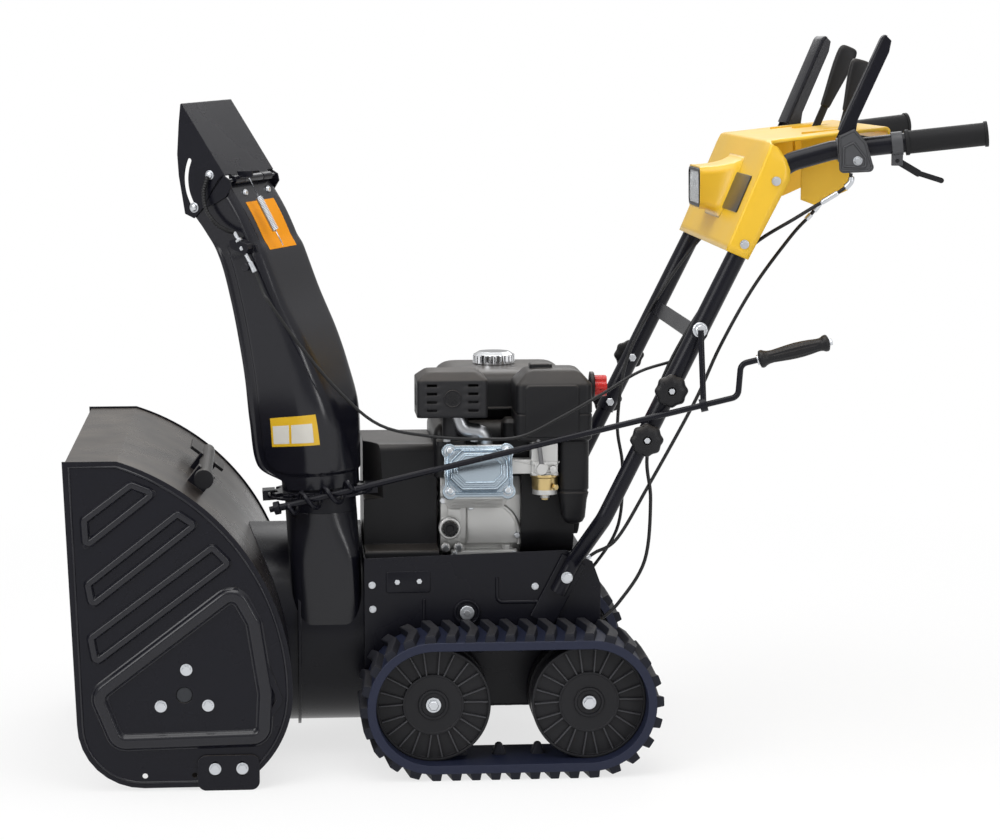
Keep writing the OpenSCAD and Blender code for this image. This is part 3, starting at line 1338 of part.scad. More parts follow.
// Sheet console across the handles, with yokes for the two gear levers
console_foot = [325, 866];
console_bend = [400, 1044];
console_back = [604, 1067];
console_lean = (console_bend.x - console_foot.x) / (console_bend.y - console_foot.y);
top_half = 226;
flange_in = handle_y + upper_r + 2.5;
console_half = flange_in + console_t;
console_bolt_z = [876, 979];
speed_pivot = [514, 80, 1000];
chute_pivot = [542, -60, 1000];
gear_pivots = [speed_pivot, chute_pivot];
gear_slots = [[508, 560], [518, 576]];
gear_pin_r = 4;
gear_hub = 7;
module strip2d(p, w) for (i = [0 : len(p) - 2]) bar2d(p[i], p[i + 1], w);
module console() color("#e2b11d") difference() {
  union() {
    slab(-console_half, console_half) strip2d([console_foot, console_bend], console_t);
    slab(-top_half, top_half)
      strip2d([console_bend, console_bend + [8, 5], console_back, console_back + [2, -22]],
        console_t);
    for (side = [-1, 1]) {
      y0 = side < 0 ? -console_half : flange_in;
      slab(y0, y0 + console_t)
        polygon([console_foot, [362, 850], [434, 986], [426, 1010], console_bend]);
      for (z = console_bolt_z)
        along(sided(tube_at(z), side) + near(side, upper_r), near(side, 1))
          cylinder(r = 9, h = 3);
      b0 = side < 0 ? -150 : 150 - console_t;
      slab(b0, b0 + console_t)
        polygon([[470, 1055], [470, 942], [494, 933], [550, 958], [556, 1008], [562, 1063]]);
    }
    for (p = gear_pivots, side = [-1, 1]) {
      y0 = p.y + (side < 0 ? -gear_hub - 3.4 : gear_hub + 0.4);
      slab(y0, y0 + 3)
        polygon([[p.x - 12, 988], [p.x - 16, 1059], [p.x + 16, 1062], [p.x + 12, 988]]);
    }
  }
  for (i = [0, 1]) {
    p = gear_pivots[i];
    s = gear_slots[i];
    translate([s[0], p.y - 5, 1030]) cube([s[1] - s[0], 10, 60]);
    translate([p.x, p.y, p.z]) rotate([90, 0, 0])
      cylinder(r = gear_pin_r + run_gap, h = 30, center = true);
  }
}
lamp_z = [925, 992];
function panel_x(z) = console_foot.x + (z - console_foot.y) * console_lean
  - console_t / 2 * sqrt(1 + console_lean * console_lean);
module headlamp() color("#1d1d20") difference() {
  slab(-58, 58) polygon([
    [314, lamp_z[0] + 6], [310, lamp_z[1] - 4], [318, lamp_z[1]],
    [panel_x(lamp_z[1]), lamp_z[1]], [panel_x(lamp_z[0]), lamp_z[0]]
  ]);
  translate([300, 0, 0]) cross_slab(0, 24) plate2d([-51, lamp_z[0] + 12], [51, lamp_z[1] - 9], 10);
}

// Gear levers: a flat bar on a pin, with a moulded handle
module gear_lever(p, bend, top) {
  slab(p.y - 3, p.y + 3) bar2d([p.x, p.z], bend, 13);
  translate(p) rotate([90, 0, 0]) cylinder(r = 11, h = 2 * gear_hub, center = true);
  translate(p) rotate([90, 0, 0]) cylinder(r = gear_pin_r, h = 2 * gear_hub + 9, center = true);
  a = [bend.x, p.y, bend.y];
  l = norm(top - a);
  along(a, top - a) rotate_extrude()
    polygon([[0, -4], [9, -4], [8, 12], [12.5, l - 8], [8, l], [0, l]]);
}
module speed_lever() color("#1b1b1e") gear_lever(speed_pivot, [556, 1098], [597, 80, 1197]);
module chute_lever() color("#1b1b1e") gear_lever(chute_pivot, [566, 1092], [589, -60, 1175]);

// Dead-man levers: folded channels that close over the grips, on trunnions of a tube clamp
lever_at = rise + grip_line * 22;
lever_lean = 66;
lever_l = 195;
lever_in = grip_r + 3;
lever_t = 2.5;
trunnion_r = 6;
trigger_at = rise + grip_line * 108 + [0, 0, -28];
trigger_pin_r = 3;
trigger_half = 4;
function on_lever(q) = [
  q.x * cos(lever_lean) - q.y * sin(lever_lean), q.x * sin(lever_lean) + q.y * cos(lever_lean)
];
function lever_line(l) = [for (q = l) on_lever(q)];
module at_side(side, p) mirror([0, side < 0 ? 1 : 0, 0]) translate(p) rotate(grip_yaw) children();
module lever_brackets() color("#4a4b4f") for (side = [-1, 1]) difference() {
  union() {
    along(sided(lever_at, side) - sided(grip_line, side) * 13, sided(grip_line, side))
      cylinder(r = 19.6, h = 26);
    at_side(side, lever_at) {
      rotate([90, 0, 0]) cylinder(r = trunnion_r, h = 2 * (lever_in + lever_t + 1), center = true);
      for (o = [-1, 1]) translate([0, o * (lever_in + lever_t + slide_gap), 0])
        rotate([-90 * o, 0, 0]) cylinder(r = 10, h = 2);
      slab(lever_in + lever_t + slide_gap, lever_in + lever_t + 5) {
        bar2d([-2, -30], [38, -28], 16);
        polygon([[-10, -30], [-12, 22], [14, 34], [34, 12], [46, -28], [38, -36], [-2, -38]]);
      }
    }
    along(sided(rise + grip_line * 98, side), sided(grip_line, side)) cylinder(r = 19.6, h = 18);
    at_side(side, trigger_at) for (o = [-1, 1]) {
      y0 = o < 0 ? -trigger_half - 3.4 : trigger_half + 0.4;
      slab(y0, y0 + 3) polygon([[-9, -8], [-9, 20], [9, 20], [9, -8]]);
    }
  }
  rod(sided(rise + grip_line * 5, side), sided(rise + grip_line * 130, side), upper_r + run_gap);
  at_side(side, trigger_at) rotate([90, 0, 0])
    cylinder(r = trigger_pin_r + run_gap, h = 30, center = true);
}
module dead_man_lever(side) color("#17171a") at_side(side, lever_at) difference() {
  union() {
    for (y0 = [-lever_in - lever_t, lever_in]) slab(y0, y0 + lever_t) polygon(lever_line([
      [-11, -9], [-11, 9], [-2, 14], [16, 23.5], [lever_l, 23.5], [lever_l, 12], [150, 4], [60,
        -4], [12, -9]
    ]));
    slab(-lever_in - lever_t, lever_in + lever_t) polygon(lever_line([
      [26, 21], [26, 23.5], [lever_l, 23.5], [lever_l, 21]
    ]));
  }
  rotate([90, 0, 0]) cylinder(r = trunnion_r + run_gap, h = 80, center = true);
}
module left_lever() dead_man_lever(-1);
module right_lever() dead_man_lever(1);

// Steering triggers under the grips
module trigger(side) color("#1a1a1d") at_side(side, trigger_at) {
  slab(-trigger_half, trigger_half) {
    bar2d([0, 0], [34, -20], 12);
    bar2d([34, -20], [72, -32], 9);
  }
  rotate([90, 0, 0]) cylinder(r = trigger_pin_r, h = 2 * trigger_half + 8, center = true);
}
module left_trigger() trigger(-1);
module right_trigger() trigger(1);

// Clean-out tool resting in its cradles: a round shaft, a knob and a paddle
module clean_out_tool() color("#242428") {
  a = tool_point(tool_y, tool_off);
  rod(a, a + [0, tool_l, 0], tool_r);
  rod(a - [0, 3, 0], a + [0, 16, 0], tool_r + 4);
  along(tool_point(tool_y + tool_l, tool_off), tool_point(0, 1) - tool_point(0, 0))
    translate([0, -34, -2.5]) cube([96, 68, 5]);
}

// Control cables from the levers down to the chassis, and the deflector's cable to the turning chute
cable_r = 3;
cable_sides = 6;
cable_end = sided(tube_at(strap_z) - tube_dir * (strap_w / 2 + 0.3), -1) + [0, 43, 0];
function chute_point(u, v, z) = let (
  x = -u * cos(chute_rest) - v * sin(chute_rest),
  y = -u * sin(chute_rest) + v * cos(chute_rest)
) chute_at + [
  x * cos(chute_lean) - z * sin(chute_lean), y, x * sin(chute_lean) + z * cos(chute_lean)
];
lever_cable = [
  [527, 284, 992.2], [520, 281, 970], [448, 258, 922], [366, 222, 862], [289, 218, 761],
  [226, 214, 640], [206, 202, 520], [214, 190, 441], [206, 181, 337], [164, 177, 266],
  [130, 181, 236], [108, chassis_y - panel_t - cable_r - 0.3, 228]
];
gear_cable = [
  [512, -144, 948], [482, -144, 917], [395, -170, 862], [322, -188, 770], [262, -190, 665],
  [190, -190, 540], [130, -180, 400], [111, -150, 354], [108, -142, deck_z + 1.2]
];
module control_cables() color("#131315")
  for (p = [all_sided(lever_cable, -1), lever_cable, gear_cable])
    sweep(spline(p, 3), cable_r, cable_sides);
module deflector_cable() color("#131315") sweep(spline([
  chute_point(60, -96.6, 380), chute_point(60, -104, 379), chute_point(64, -115, 370),
  [-424, -192, 783], [-372, -204, 709], [-307, -218, 632], [-242, -232, 579], [-160, -242, 561],
    [-78, -247, 556], [-11, -247, 559],
  [55, -240, 589], [123, -232, 625], [190, -218, 662], cable_end + [-14, 0, -26], cable_end
], 4), cable_r - 0.4, 8);

auger_housing();
left_side_plate();
right_side_plate();
scraper_bar();
skid_shoes();
auger_bearings();
impeller_housing();
gearbox_case();
auger_shaft();
left_auger();
right_auger();
impeller();
impeller_shaft();
drive_belts();
belt_cover();
chassis_frame();
frame_bolts();
left_track();
right_track();
left_front_wheel();
left_rear_wheel();
right_front_wheel();
right_rear_wheel();
engine_pulley();
drive_disc();
hex_shaft();
friction_wheel();
crankcase();
cylinder_block();
valve_cover();
muffler();
fuel_tank();
fuel_cap();
air_box();
carburetor();
recoil_cover();
choke_knob();
chute_ring();
chute();
chute_brackets();
deflector();
deflector_spring();
deflector_cable();
crank_rod();
crank_grip();
clean_out_tool();
lower_handles();
upper_handles();
handle_grips();
handle_knobs();
console();
headlamp();
lever_brackets();
left_lever();
right_lever();
left_trigger();
right_trigger();
speed_lever();
chute_lever();
control_cables();
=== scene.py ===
import math

import bmesh
import bpy
import numpy as np
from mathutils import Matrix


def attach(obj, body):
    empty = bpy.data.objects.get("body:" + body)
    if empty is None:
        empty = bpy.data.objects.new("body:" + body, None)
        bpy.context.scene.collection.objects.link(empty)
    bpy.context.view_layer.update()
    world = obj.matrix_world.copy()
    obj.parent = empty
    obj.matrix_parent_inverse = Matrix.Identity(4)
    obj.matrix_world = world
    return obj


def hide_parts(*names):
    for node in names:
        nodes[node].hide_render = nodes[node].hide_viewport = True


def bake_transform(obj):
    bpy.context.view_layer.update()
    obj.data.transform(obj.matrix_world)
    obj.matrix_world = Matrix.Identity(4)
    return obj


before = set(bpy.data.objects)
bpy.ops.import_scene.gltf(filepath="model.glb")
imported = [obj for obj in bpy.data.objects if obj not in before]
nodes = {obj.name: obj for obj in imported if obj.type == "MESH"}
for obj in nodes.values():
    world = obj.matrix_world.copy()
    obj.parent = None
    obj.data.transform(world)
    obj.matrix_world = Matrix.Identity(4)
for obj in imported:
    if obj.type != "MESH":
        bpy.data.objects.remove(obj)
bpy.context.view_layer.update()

# Studio: a pale floor that runs out of the picture, a white surround for the camera, glass and gloss,
# dimmer near the horizon in gloss, three soft lights and an upright strip.
scene = bpy.context.scene
scene.view_settings.view_transform = "Standard"
camera_data = bpy.data.cameras.new("studio_camera")
camera_data.sensor_width = 36
camera_data.lens = 100.8
camera = bpy.data.objects.new("studio_camera", camera_data)
camera.location = (-0.417, -4.804, 1.195)
camera.rotation_euler = (math.radians(82.43), 0, math.radians(-4.67))
scene.collection.objects.link(camera)
scene.camera = camera


def soft_light(name, place, look_at, size, watts):
    """Oblong area lamp at place, of a width and a height, whose face looks at a point."""
    lamp = bpy.data.lights.new(name, "AREA")
    lamp.shape = "RECTANGLE"
    lamp.size, lamp.size_y = size
    lamp.energy = watts
    lamp_object = bpy.data.objects.new(name, lamp)
    lamp_object.location = place
    aim = np.array(place) - np.array(look_at)
    turn = math.atan2(aim[0], -aim[1])
    tip = math.acos(aim[2] / np.linalg.norm(aim))
    lamp_object.rotation_euler = (tip, 0, turn)
    scene.collection.objects.link(lamp_object)


soft_light("top_light", (-0.3, -0.6, 3.4), (0, 0, 0.5), (2.4, 2.4), 50)
soft_light("left_light", (-2.6, -2.4, 2.2), (-0.1, 0, 0.5), (1.8, 1.8), 44)
soft_light("rear_light", (0.5, 2.6, 2.8), (0, 0, 0.6), (2.0, 2.0), 30)
soft_light("strip_light", (2.3, -3.3, 1.5), (-0.1, 0, 0.6), (0.5, 2.0), 26)


def node(tree, kind, values=None, **settings):
    """New shader node of a kind, with its properties and then the values of its inputs set."""
    made = tree.nodes.new("ShaderNode" + kind)
    for key, value in settings.items():
        setattr(made, key, value)
    for key, value in (values or {}).items():
        made.inputs[key].default_value = value
    return made


def wire(tree, *links):
    """Links given as source node, output, target node and input."""
    for source, output, target, entry in links:
        tree.links.new(source.outputs[output], target.inputs[entry])


def clear_rays(tree):
    """Two switches: 1 for rays of the camera and through glass, and 1 for these and rays off gloss."""
    rays = node(tree, "LightPath")
    seen = node(tree, "Math", operation="MAXIMUM")
    clear = node(tree, "Math", operation="MAXIMUM")
    wire(tree, (rays, "Is Camera Ray", seen, 0), (rays, "Is Transmission Ray", seen, 1),
         (seen, 0, clear, 0), (rays, "Is Glossy Ray", clear, 1))
    return seen, clear


WHITE = (1, 1, 1, 1)
FILL_LEVEL = 0.55
world = bpy.data.worlds.new("studio_world")
scene.world = world
world.use_nodes = True
sky = world.node_tree
sky.nodes.clear()
sky_out = node(sky, "OutputWorld")
sky_seen, sky_clear = clear_rays(sky)
fill_glow = node(sky, "Background", {"Color": WHITE, "Strength": FILL_LEVEL})
white_glow = node(sky, "Background", {"Color": WHITE})
glow_mix = node(sky, "MixShader")
sky_way = node(sky, "TexCoord")
sky_axes = node(sky, "SeparateXYZ")
sky_rise = node(sky, "MapRange", {"From Min": 0.1, "From Max": 0.8, "To Min": 0.42})
sky_level = node(sky, "Math", operation="MAXIMUM")
wire(sky, (sky_way, "Generated", sky_axes, 0), (sky_axes, "Z", sky_rise, "Value"),
     (sky_rise, "Result", sky_level, 0), (sky_seen, 0, sky_level, 1), (sky_level, 0, white_glow, "Strength"),
     (sky_clear, 0, glow_mix, 0), (fill_glow, 0, glow_mix, 1), (white_glow, 0, glow_mix, 2),
     (glow_mix, 0, sky_out, "Surface"))

FLOOR_HALF = 14.0
FLOOR_GREY = (0.94, 0.94, 0.94, 1)
floor_mesh = bpy.data.meshes.new("studio_floor")
floor_corners = [(x * FLOOR_HALF, y * FLOOR_HALF, 0) for x, y in ((-1, -1), (1, -1), (1, 1), (-1, 1))]
floor_mesh.from_pydata(floor_corners, [], [(0, 1, 2, 3)])
floor = bpy.data.objects.new("studio_floor", floor_mesh)
scene.collection.objects.link(floor)
pale_floor = bpy.data.materials.new("pale_floor")
pale_floor.use_nodes = True
ground = pale_floor.node_tree
ground_shader = ground.nodes["Principled BSDF"]
ground_shader.inputs["Base Color"].default_value = FLOOR_GREY
ground_shader.inputs["Roughness"].default_value = 0.95
ground_place = node(ground, "TexCoord")
ground_far = node(ground, "VectorMath", operation="LENGTH")
ground_fade = node(ground, "MapRange", {"From Min": 0.7, "From Max": 2.6, "To Min": 0.72})
ground_clear = clear_rays(ground)[1]
ground_share = node(ground, "Math", operation="MULTIPLY")
ground_white = node(ground, "Emission")
ground_mix = node(ground, "MixShader")
wire(ground, (ground_place, "Object", ground_far, 0), (ground_far, "Value", ground_fade, "Value"),
     (ground_fade, "Result", ground_share, 0), (ground_clear, 0, ground_share, 1),
     (ground_share, 0, ground_mix, 0), (ground_shader, 0, ground_mix, 1), (ground_white, 0, ground_mix, 2),
     (ground_mix, 0, ground.nodes["Material Output"], "Surface"))
floor_mesh.materials.append(pale_floor)


# Scoop: a rolled housing between two flat side plates, with skid shoes, bolted bearings and a scraper
# bar along the floor. Sheet steel in satin black powder coat, rubbed at the edges; its faces looking up are
# tinted brown-grey, partly dust and partly painted warm light from above.
def effect(name, entry, value, **exits):
    """Empty shader node group with one float input and outputs of the named kinds."""
    tree = bpy.data.node_groups.new(name, "ShaderNodeTree")
    socket = tree.interface.new_socket(entry, in_out="INPUT", socket_type="NodeSocketFloat")
    socket.default_value = value
    for label, kind in exits.items():
        tree.interface.new_socket(label, in_out="OUTPUT", socket_type="NodeSocket" + kind)
    return tree, tree.nodes.new("NodeGroupInput"), tree.nodes.new("NodeGroupOutput")


# Shared effect: fine grain and broad mottling of a coat or casting, in Object coordinates
grain_tree, grain_in, grain_out = effect("surface_grain", "Scale", 900.0, Height="Float", Mottle="Float")
grain_place = node(grain_tree, "TexCoord")
grain_fine = node(grain_tree, "TexNoise", {"Detail": 3})
grain_broad = node(grain_tree, "TexNoise", {"Scale": 9, "Detail": 5})
wire(grain_tree, (grain_place, "Object", grain_fine, "Vector"), (grain_in, "Scale", grain_fine, "Scale"),
     (grain_place, "Object", grain_broad, "Vector"), (grain_fine, "Fac", grain_out, "Height"),
     (grain_broad, "Fac", grain_out, "Mottle"))

# Shared effect: rounded edges for the light to catch, and a broken mask where they rub bare
edge_tree, edge_in, edge_out = effect("edge_rub", "Radius", 0.0015, Normal="Vector", Mask="Float")
edge_round = node(edge_tree, "Bevel", samples=6)
edge_flat = node(edge_tree, "NewGeometry")
edge_turn = node(edge_tree, "VectorMath", operation="DOT_PRODUCT")
edge_break = node(edge_tree, "TexNoise", {"Scale": 70})
edge_place = node(edge_tree, "TexCoord")
edge_bare = node(edge_tree, "MapRange", {"From Min": 0.985, "From Max": 0.86})
edge_patch = node(edge_tree, "MapRange", {"From Min": 0.42, "From Max": 0.62})
edge_both = node(edge_tree, "Math", operation="MULTIPLY")
wire(edge_tree, (edge_in, "Radius", edge_round, "Radius"), (edge_round, "Normal", edge_turn, 0),
     (edge_flat, "Normal", edge_turn, 1), (edge_turn, "Value", edge_bare, "Value"),
     (edge_place, "Object", edge_break, "Vector"), (edge_break, "Fac", edge_patch, "Value"),
     (edge_bare, "Result", edge_both, 0), (edge_patch, "Result", edge_both, 1),
     (edge_round, "Normal", edge_out, "Normal"), (edge_both, "Value", edge_out, "Mask"))

# Shared effect: a mask on faces looking up, for thin dust and for painted light falling on the tops
dust_and_light_tree, dust_and_light_in, dust_and_light_out = effect("settled_dust_and_top_light", "Amount", 0.4, Mask="Float")
dust_and_light_face = node(dust_and_light_tree, "NewGeometry")
dust_and_light_axes = node(dust_and_light_tree, "SeparateXYZ")
dust_and_light_up = node(dust_and_light_tree, "MapRange", {"From Min": 0.15, "From Max": 1.0})
dust_and_light_place = node(dust_and_light_tree, "TexCoord")
dust_and_light_spread = node(dust_and_light_tree, "TexNoise", {"Scale": 14, "Detail": 6})
dust_and_light_thin = node(dust_and_light_tree, "Math", operation="MULTIPLY")
dust_and_light_all = node(dust_and_light_tree, "Math", operation="MULTIPLY")
wire(dust_and_light_tree, (dust_and_light_face, "Normal", dust_and_light_axes, 0), (dust_and_light_axes, "Z", dust_and_light_up, "Value"),
     (dust_and_light_place, "Object", dust_and_light_spread, "Vector"), (dust_and_light_up, "Result", dust_and_light_thin, 0),
     (dust_and_light_spread, "Fac", dust_and_light_thin, 1), (dust_and_light_thin, "Value", dust_and_light_all, 0), (dust_and_light_in, "Amount", dust_and_light_all, 1),
     (dust_and_light_all, "Value", dust_and_light_out, "Mask"))
GLOSS_SPREAD = 0.07
GRAIN_DEPTH = 0.0004


def coat(name, colour, rough, metal=0.0, grain=900.0, relief=0.15, edge=0.0015,
         bare=None, bare_amount=0.5, dust_and_light=None, dust_and_light_amount=0.4, mottle=0.12, shine=0.5):
    """Finish of one kind of surface: its colour varied by mottling, edges rubbed towards bare,
    dust and painted top light on faces looking up, grain as bump over rounded edges, and gloss varied
    with the mottling."""
    made = bpy.data.materials.new(name)
    made.use_nodes = True
    tree = made.node_tree
    shader = tree.nodes["Principled BSDF"]
    shader.inputs["Specular IOR Level"].default_value = shine
    shader.inputs["Metallic"].default_value = metal
    grains = node(tree, "Group", {"Scale": grain}, node_tree=grain_tree)
    edges = node(tree, "Group", {"Radius": edge}, node_tree=edge_tree)
    top = node(tree, "Mix", {"A": [c * (1 - mottle) for c in colour] + [1],
                             "B": [min(1, c * (1 + mottle)) for c in colour] + [1]}, data_type="RGBA")
    wire(tree, (grains, "Mottle", top, "Factor"))
    if bare:
        share = node(tree, "Math", {1: bare_amount}, operation="MULTIPLY")
        rubbed = node(tree, "Mix", {"B": list(bare) + [1]}, data_type="RGBA")
        wire(tree, (edges, "Mask", share, 0), (share, "Value", rubbed, "Factor"),
             (top, "Result", rubbed, "A"))
        top = rubbed
    if dust_and_light:
        dust_and_light_mask = node(tree, "Group", {"Amount": dust_and_light_amount}, node_tree=dust_and_light_tree)
        dusted_and_lit = node(tree, "Mix", {"B": list(dust_and_light) + [1]}, data_type="RGBA")
        wire(tree, (dust_and_light_mask, "Mask", dusted_and_lit, "Factor"), (top, "Result", dusted_and_lit, "A"))
        top = dusted_and_lit
    gloss = node(tree, "MapRange", {"To Min": rough - GLOSS_SPREAD, "To Max": rough + GLOSS_SPREAD})
    bump = node(tree, "Bump", {"Strength": relief, "Distance": GRAIN_DEPTH})
    wire(tree, (top, "Result", shader, "Base Color"), (grains, "Mottle", gloss, "Value"),
         (gloss, "Result", shader, "Roughness"), (grains, "Height", bump, "Height"),
         (edges, "Normal", bump, "Normal"), (bump, "Normal", shader, "Normal"))
    return made


def wear(finish, *names):
    """Gives CAD nodes a finish in every one of their material slots."""
    for name in names:
        mesh = nodes[name].data
        mesh.materials.clear()
        mesh.materials.append(finish)


# Brown-grey for faces looking up: road dust, and also painted warm light from above.
DUST_AND_TOP_LIGHT = (0.16, 0.135, 0.11)
POWDER_BLACK = (0.0060, 0.0061, 0.0100)
POWDER_RUBBED = (0.05, 0.05, 0.055)
# The scoop's heavy brown-grey on its tops is dust and painted warm light from above.
scoop_paint = coat("scoop_paint", POWDER_BLACK, 0.28, grain=1300, relief=0.10, edge=0.0018,
                   bare=POWDER_RUBBED, dust_and_light=DUST_AND_TOP_LIGHT, dust_and_light_amount=0.8, shine=0.20)
wear(scoop_paint, "auger_housing", "left_side_plate", "right_side_plate", "skid_shoes")
cast_case = coat("cast_case", (0.03, 0.031, 0.034), 0.6, grain=500, relief=0.4)
wear(cast_case, "gearbox_case", "auger_bearings")
auger_paint = coat("auger_paint", (0.026, 0.028, 0.033), 0.45, grain=1000, relief=0.2,
                   bare=(0.3, 0.3, 0.31), bare_amount=0.7, shine=0.3)
wear(auger_paint, "left_auger", "right_auger", "impeller", "auger_shaft")

# Chassis and drive: folded frame plates with the impeller drum and the chute's ring on them, and inside
# steel shafts, discs and belts. Frame and drum have the scoop's coat with less dust and painted top light;
# bolts are zinc.
frame_paint = coat("frame_paint", POWDER_BLACK, 0.27, grain=1300, relief=0.10, edge=0.0018,
                   bare=POWDER_RUBBED, dust_and_light=DUST_AND_TOP_LIGHT, dust_and_light_amount=0.02, shine=0.20)
wear(frame_paint, "impeller_housing", "chassis_frame", "chute_ring", "chute_brackets")
bare_steel = coat("bare_steel", (0.42, 0.43, 0.45), 0.36, metal=1.0, grain=700, relief=0.12)
wear(bare_steel, "scraper_bar", "impeller_shaft", "hex_shaft", "drive_disc", "engine_pulley")
zinc = coat("zinc", (0.62, 0.64, 0.67), 0.3, metal=1.0, grain=1500, relief=0.06, edge=0.0008)
wear(zinc, "frame_bolts")
belt_rubber = coat("belt_rubber", (0.012, 0.012, 0.013), 0.58, relief=0.3, shine=0.2)
wear(belt_rubber, "drive_belts")
grip_rubber = coat("grip_rubber", (0.010, 0.010, 0.011), 0.56, grain=420, relief=0.4, shine=0.2)
wear(grip_rubber, "handle_grips", "friction_wheel")
black_plastic = coat("black_plastic", (0.009, 0.009, 0.0105), 0.42, grain=1600, relief=0.18, edge=0.0022,
                     dust_and_light=DUST_AND_TOP_LIGHT, dust_and_light_amount=0.35, shine=0.25)
wear(black_plastic, "belt_cover", "clean_out_tool", "recoil_cover")


# Discharge chute: one sheet rolled round at the foot and squared towards the top, with a raised
# panel pressed into it inside a plain edge, hemmed at the front. Powder coated, on the toothed ring.
CHUTE_FOOT = np.array([-340.0, -110.0, 462.0])
CHUTE_LEAN = math.radians(3.3)
CHUTE_REST = math.radians(-30)
CHUTE_SHEET = 3.0
HINGE = (92.0, 522.0)
PIN_HALF, KNUCKLE_HALF = 77, 30
WING_SWEEP = 106.0
PANEL_EDGE, PANEL_FOOT, PANEL_CORNER = 17, 24, 26
PANEL_RISE, HEM_RISE = 3.4, 2.6
CHUTE_BACK = [(-67.4, 1), (-67.4, 16), (-67.2, 45), (-60, 129), (-38, 200),
              (-15, 261), (15, 329), (42, 405), (67, 464), (97, 517)]
CHUTE_FRONT = [(22, 1), (32, 16), (77, 44), (82, 119), (84, 190),
               (90, 250), (100, 320), (116, 392), (141, 438), (168, 476)]
CHUTE_HALF = [67.4, 67.4, 68, 75, 77, 77, 77, 77, 77, 77]
CHUTE_CORNER = [66.5, 66.5, 64, 48, 34, 24, 18, 16, 14, 14]
chute_paint = coat("chute_paint", POWDER_BLACK, 0.21, grain=1300, relief=0.06, edge=0.0018,
                   bare=POWDER_RUBBED, shine=0.40)
wear(frame_paint, "chute", "deflector")


def on_chute(forward, sideways, height):
    """Chute coordinates in millimetres (forward, sideways, above the ring) turned by the rest angle
    about the ring's axis, leaned forward, and set on the ring; the result is in metres."""
    x = -forward * math.cos(CHUTE_REST) - sideways * math.sin(CHUTE_REST)
    y = -forward * math.sin(CHUTE_REST) + sideways * math.cos(CHUTE_REST)
    leaned = np.stack([x * math.cos(CHUTE_LEAN) - height * math.sin(CHUTE_LEAN), y,
                       x * math.sin(CHUTE_LEAN) + height * math.cos(CHUTE_LEAN)], -1)
    return (leaned + CHUTE_FOOT) / 1000


def chute_spot(forward, sideways, height):
    """One point in chute coordinates."""
    return on_chute(np.array(float(forward)), np.array(float(sideways)), np.array(float(height)))


def step(x, low, high):
    """0 below low, 1 above high, and a smooth cubic rise between them."""
    t = np.clip((x - low) / (high - low), 0, 1)
    return t * t * (3 - 2 * t)


def unit_rows(v):
    """Each row divided by its own length."""
    return v / np.linalg.norm(v, axis=-1, keepdims=True)


def smooth_path(points, steps):
    """Catmull-Rom curve through the points, steps to a span: a cubic blend of four neighbours."""
    p = np.asarray(points, float)
    p = np.vstack([2 * p[0] - p[1], p, 2 * p[-1] - p[-2]])
    t = np.linspace(0, 1, steps, endpoint=False)[None, :, None]
    a, b, c, d = (p[i:len(p) - 3 + i][:, None, :] for i in range(4))
    spans = 0.5 * (2 * b + (c - a) * t + (2 * a - 5 * b + 4 * c - d) * t ** 2
                   + (3 * b - a - 3 * c + d) * t ** 3)
    return np.vstack([spans.reshape(-1, 3), p[-2]])


def chute_rows(rows):
    """Back edge, front edge, half width and corner radius at each row, on curves through the marks."""
    def through(marks):
        full = smooth_path(np.array([(m if np.ndim(m) else (m, 0)) for m in marks]) @ np.eye(2, 3), 24)
        return np.stack([np.interp(rows * (len(full) - 1), np.arange(len(full)), full[:, k])
                         for k in (0, 1)], -1)
    return (through(CHUTE_BACK), through(CHUTE_FRONT), through(CHUTE_HALF)[:, 0],
            through(CHUTE_CORNER)[:, 0])


def chute_wall(rows, across, inset, lift=0.0):
    """Chute sheet: rows run up it and across runs from the front edge of the left wall (-1) over
    the back (0) to the right front edge (1). Straight side, round corner, flat back. The raised
    panel follows the front and foot edges at a set distance; the hem thickens the front edge; both
    fade out where the deflector's wings sweep past."""
    back, front, half, corner = chute_rows(rows)
    run = unit_rows(front - back)
    depth = np.linalg.norm(front - back, axis=-1)[:, None] - inset
    half = half[:, None] - inset
    corner = corner[:, None] - inset
    a = np.abs(across)[None, :]
    side = np.clip((a - 0.5) / 0.5, 0, 1)
    bend = np.clip((a - 0.25) / 0.25, 0, 1) * math.pi / 2
    flat = np.clip(a / 0.25, 0, 1)
    x = np.where(a > 0.5, corner + side * (depth - corner), corner - corner * np.cos(bend))
    y = np.where(a > 0.25, half - corner + corner * np.sin(bend), flat * (half - corner))
    out_x = np.where(a > 0.5, 0, -np.cos(bend))
    out_y = np.where(a > 0.5, 1, np.sin(bend))
    from_front = depth - x
    from_foot = np.broadcast_to(back[:, 1:2], x.shape)
    past_edge, past_foot = from_front - PANEL_EDGE, from_foot - PANEL_FOOT
    to_corner = np.hypot(np.maximum(PANEL_CORNER - past_edge, 0), np.maximum(PANEL_CORNER - past_foot, 0))
    in_corner = (past_edge < PANEL_CORNER) & (past_foot < PANEL_CORNER)
    inside = np.where(in_corner, PANEL_CORNER - to_corner, np.minimum(past_edge, past_foot))
    swing = np.hypot(back[:, 0:1] + run[:, 0:1] * x - HINGE[0], back[:, 1:2] + run[:, 1:2] * x - HINGE[1])
    clear = step(swing, WING_SWEEP, WING_SWEEP + 24)
    raised = PANEL_RISE * step(inside, 0, 6) * clear
    hem = HEM_RISE * (1 - step(from_front, 5, 9)) * clear * step(from_foot, 20, 40)
    push = raised + hem + lift
    x = x + out_x * push + inset
    y = y + out_y * push
    sign = np.where(across < 0, -1, 1)[None, :]
    return on_chute(back[:, 0:1] + run[:, 0:1] * x, sign * y, back[:, 1:2] + run[:, 1:2] * x)


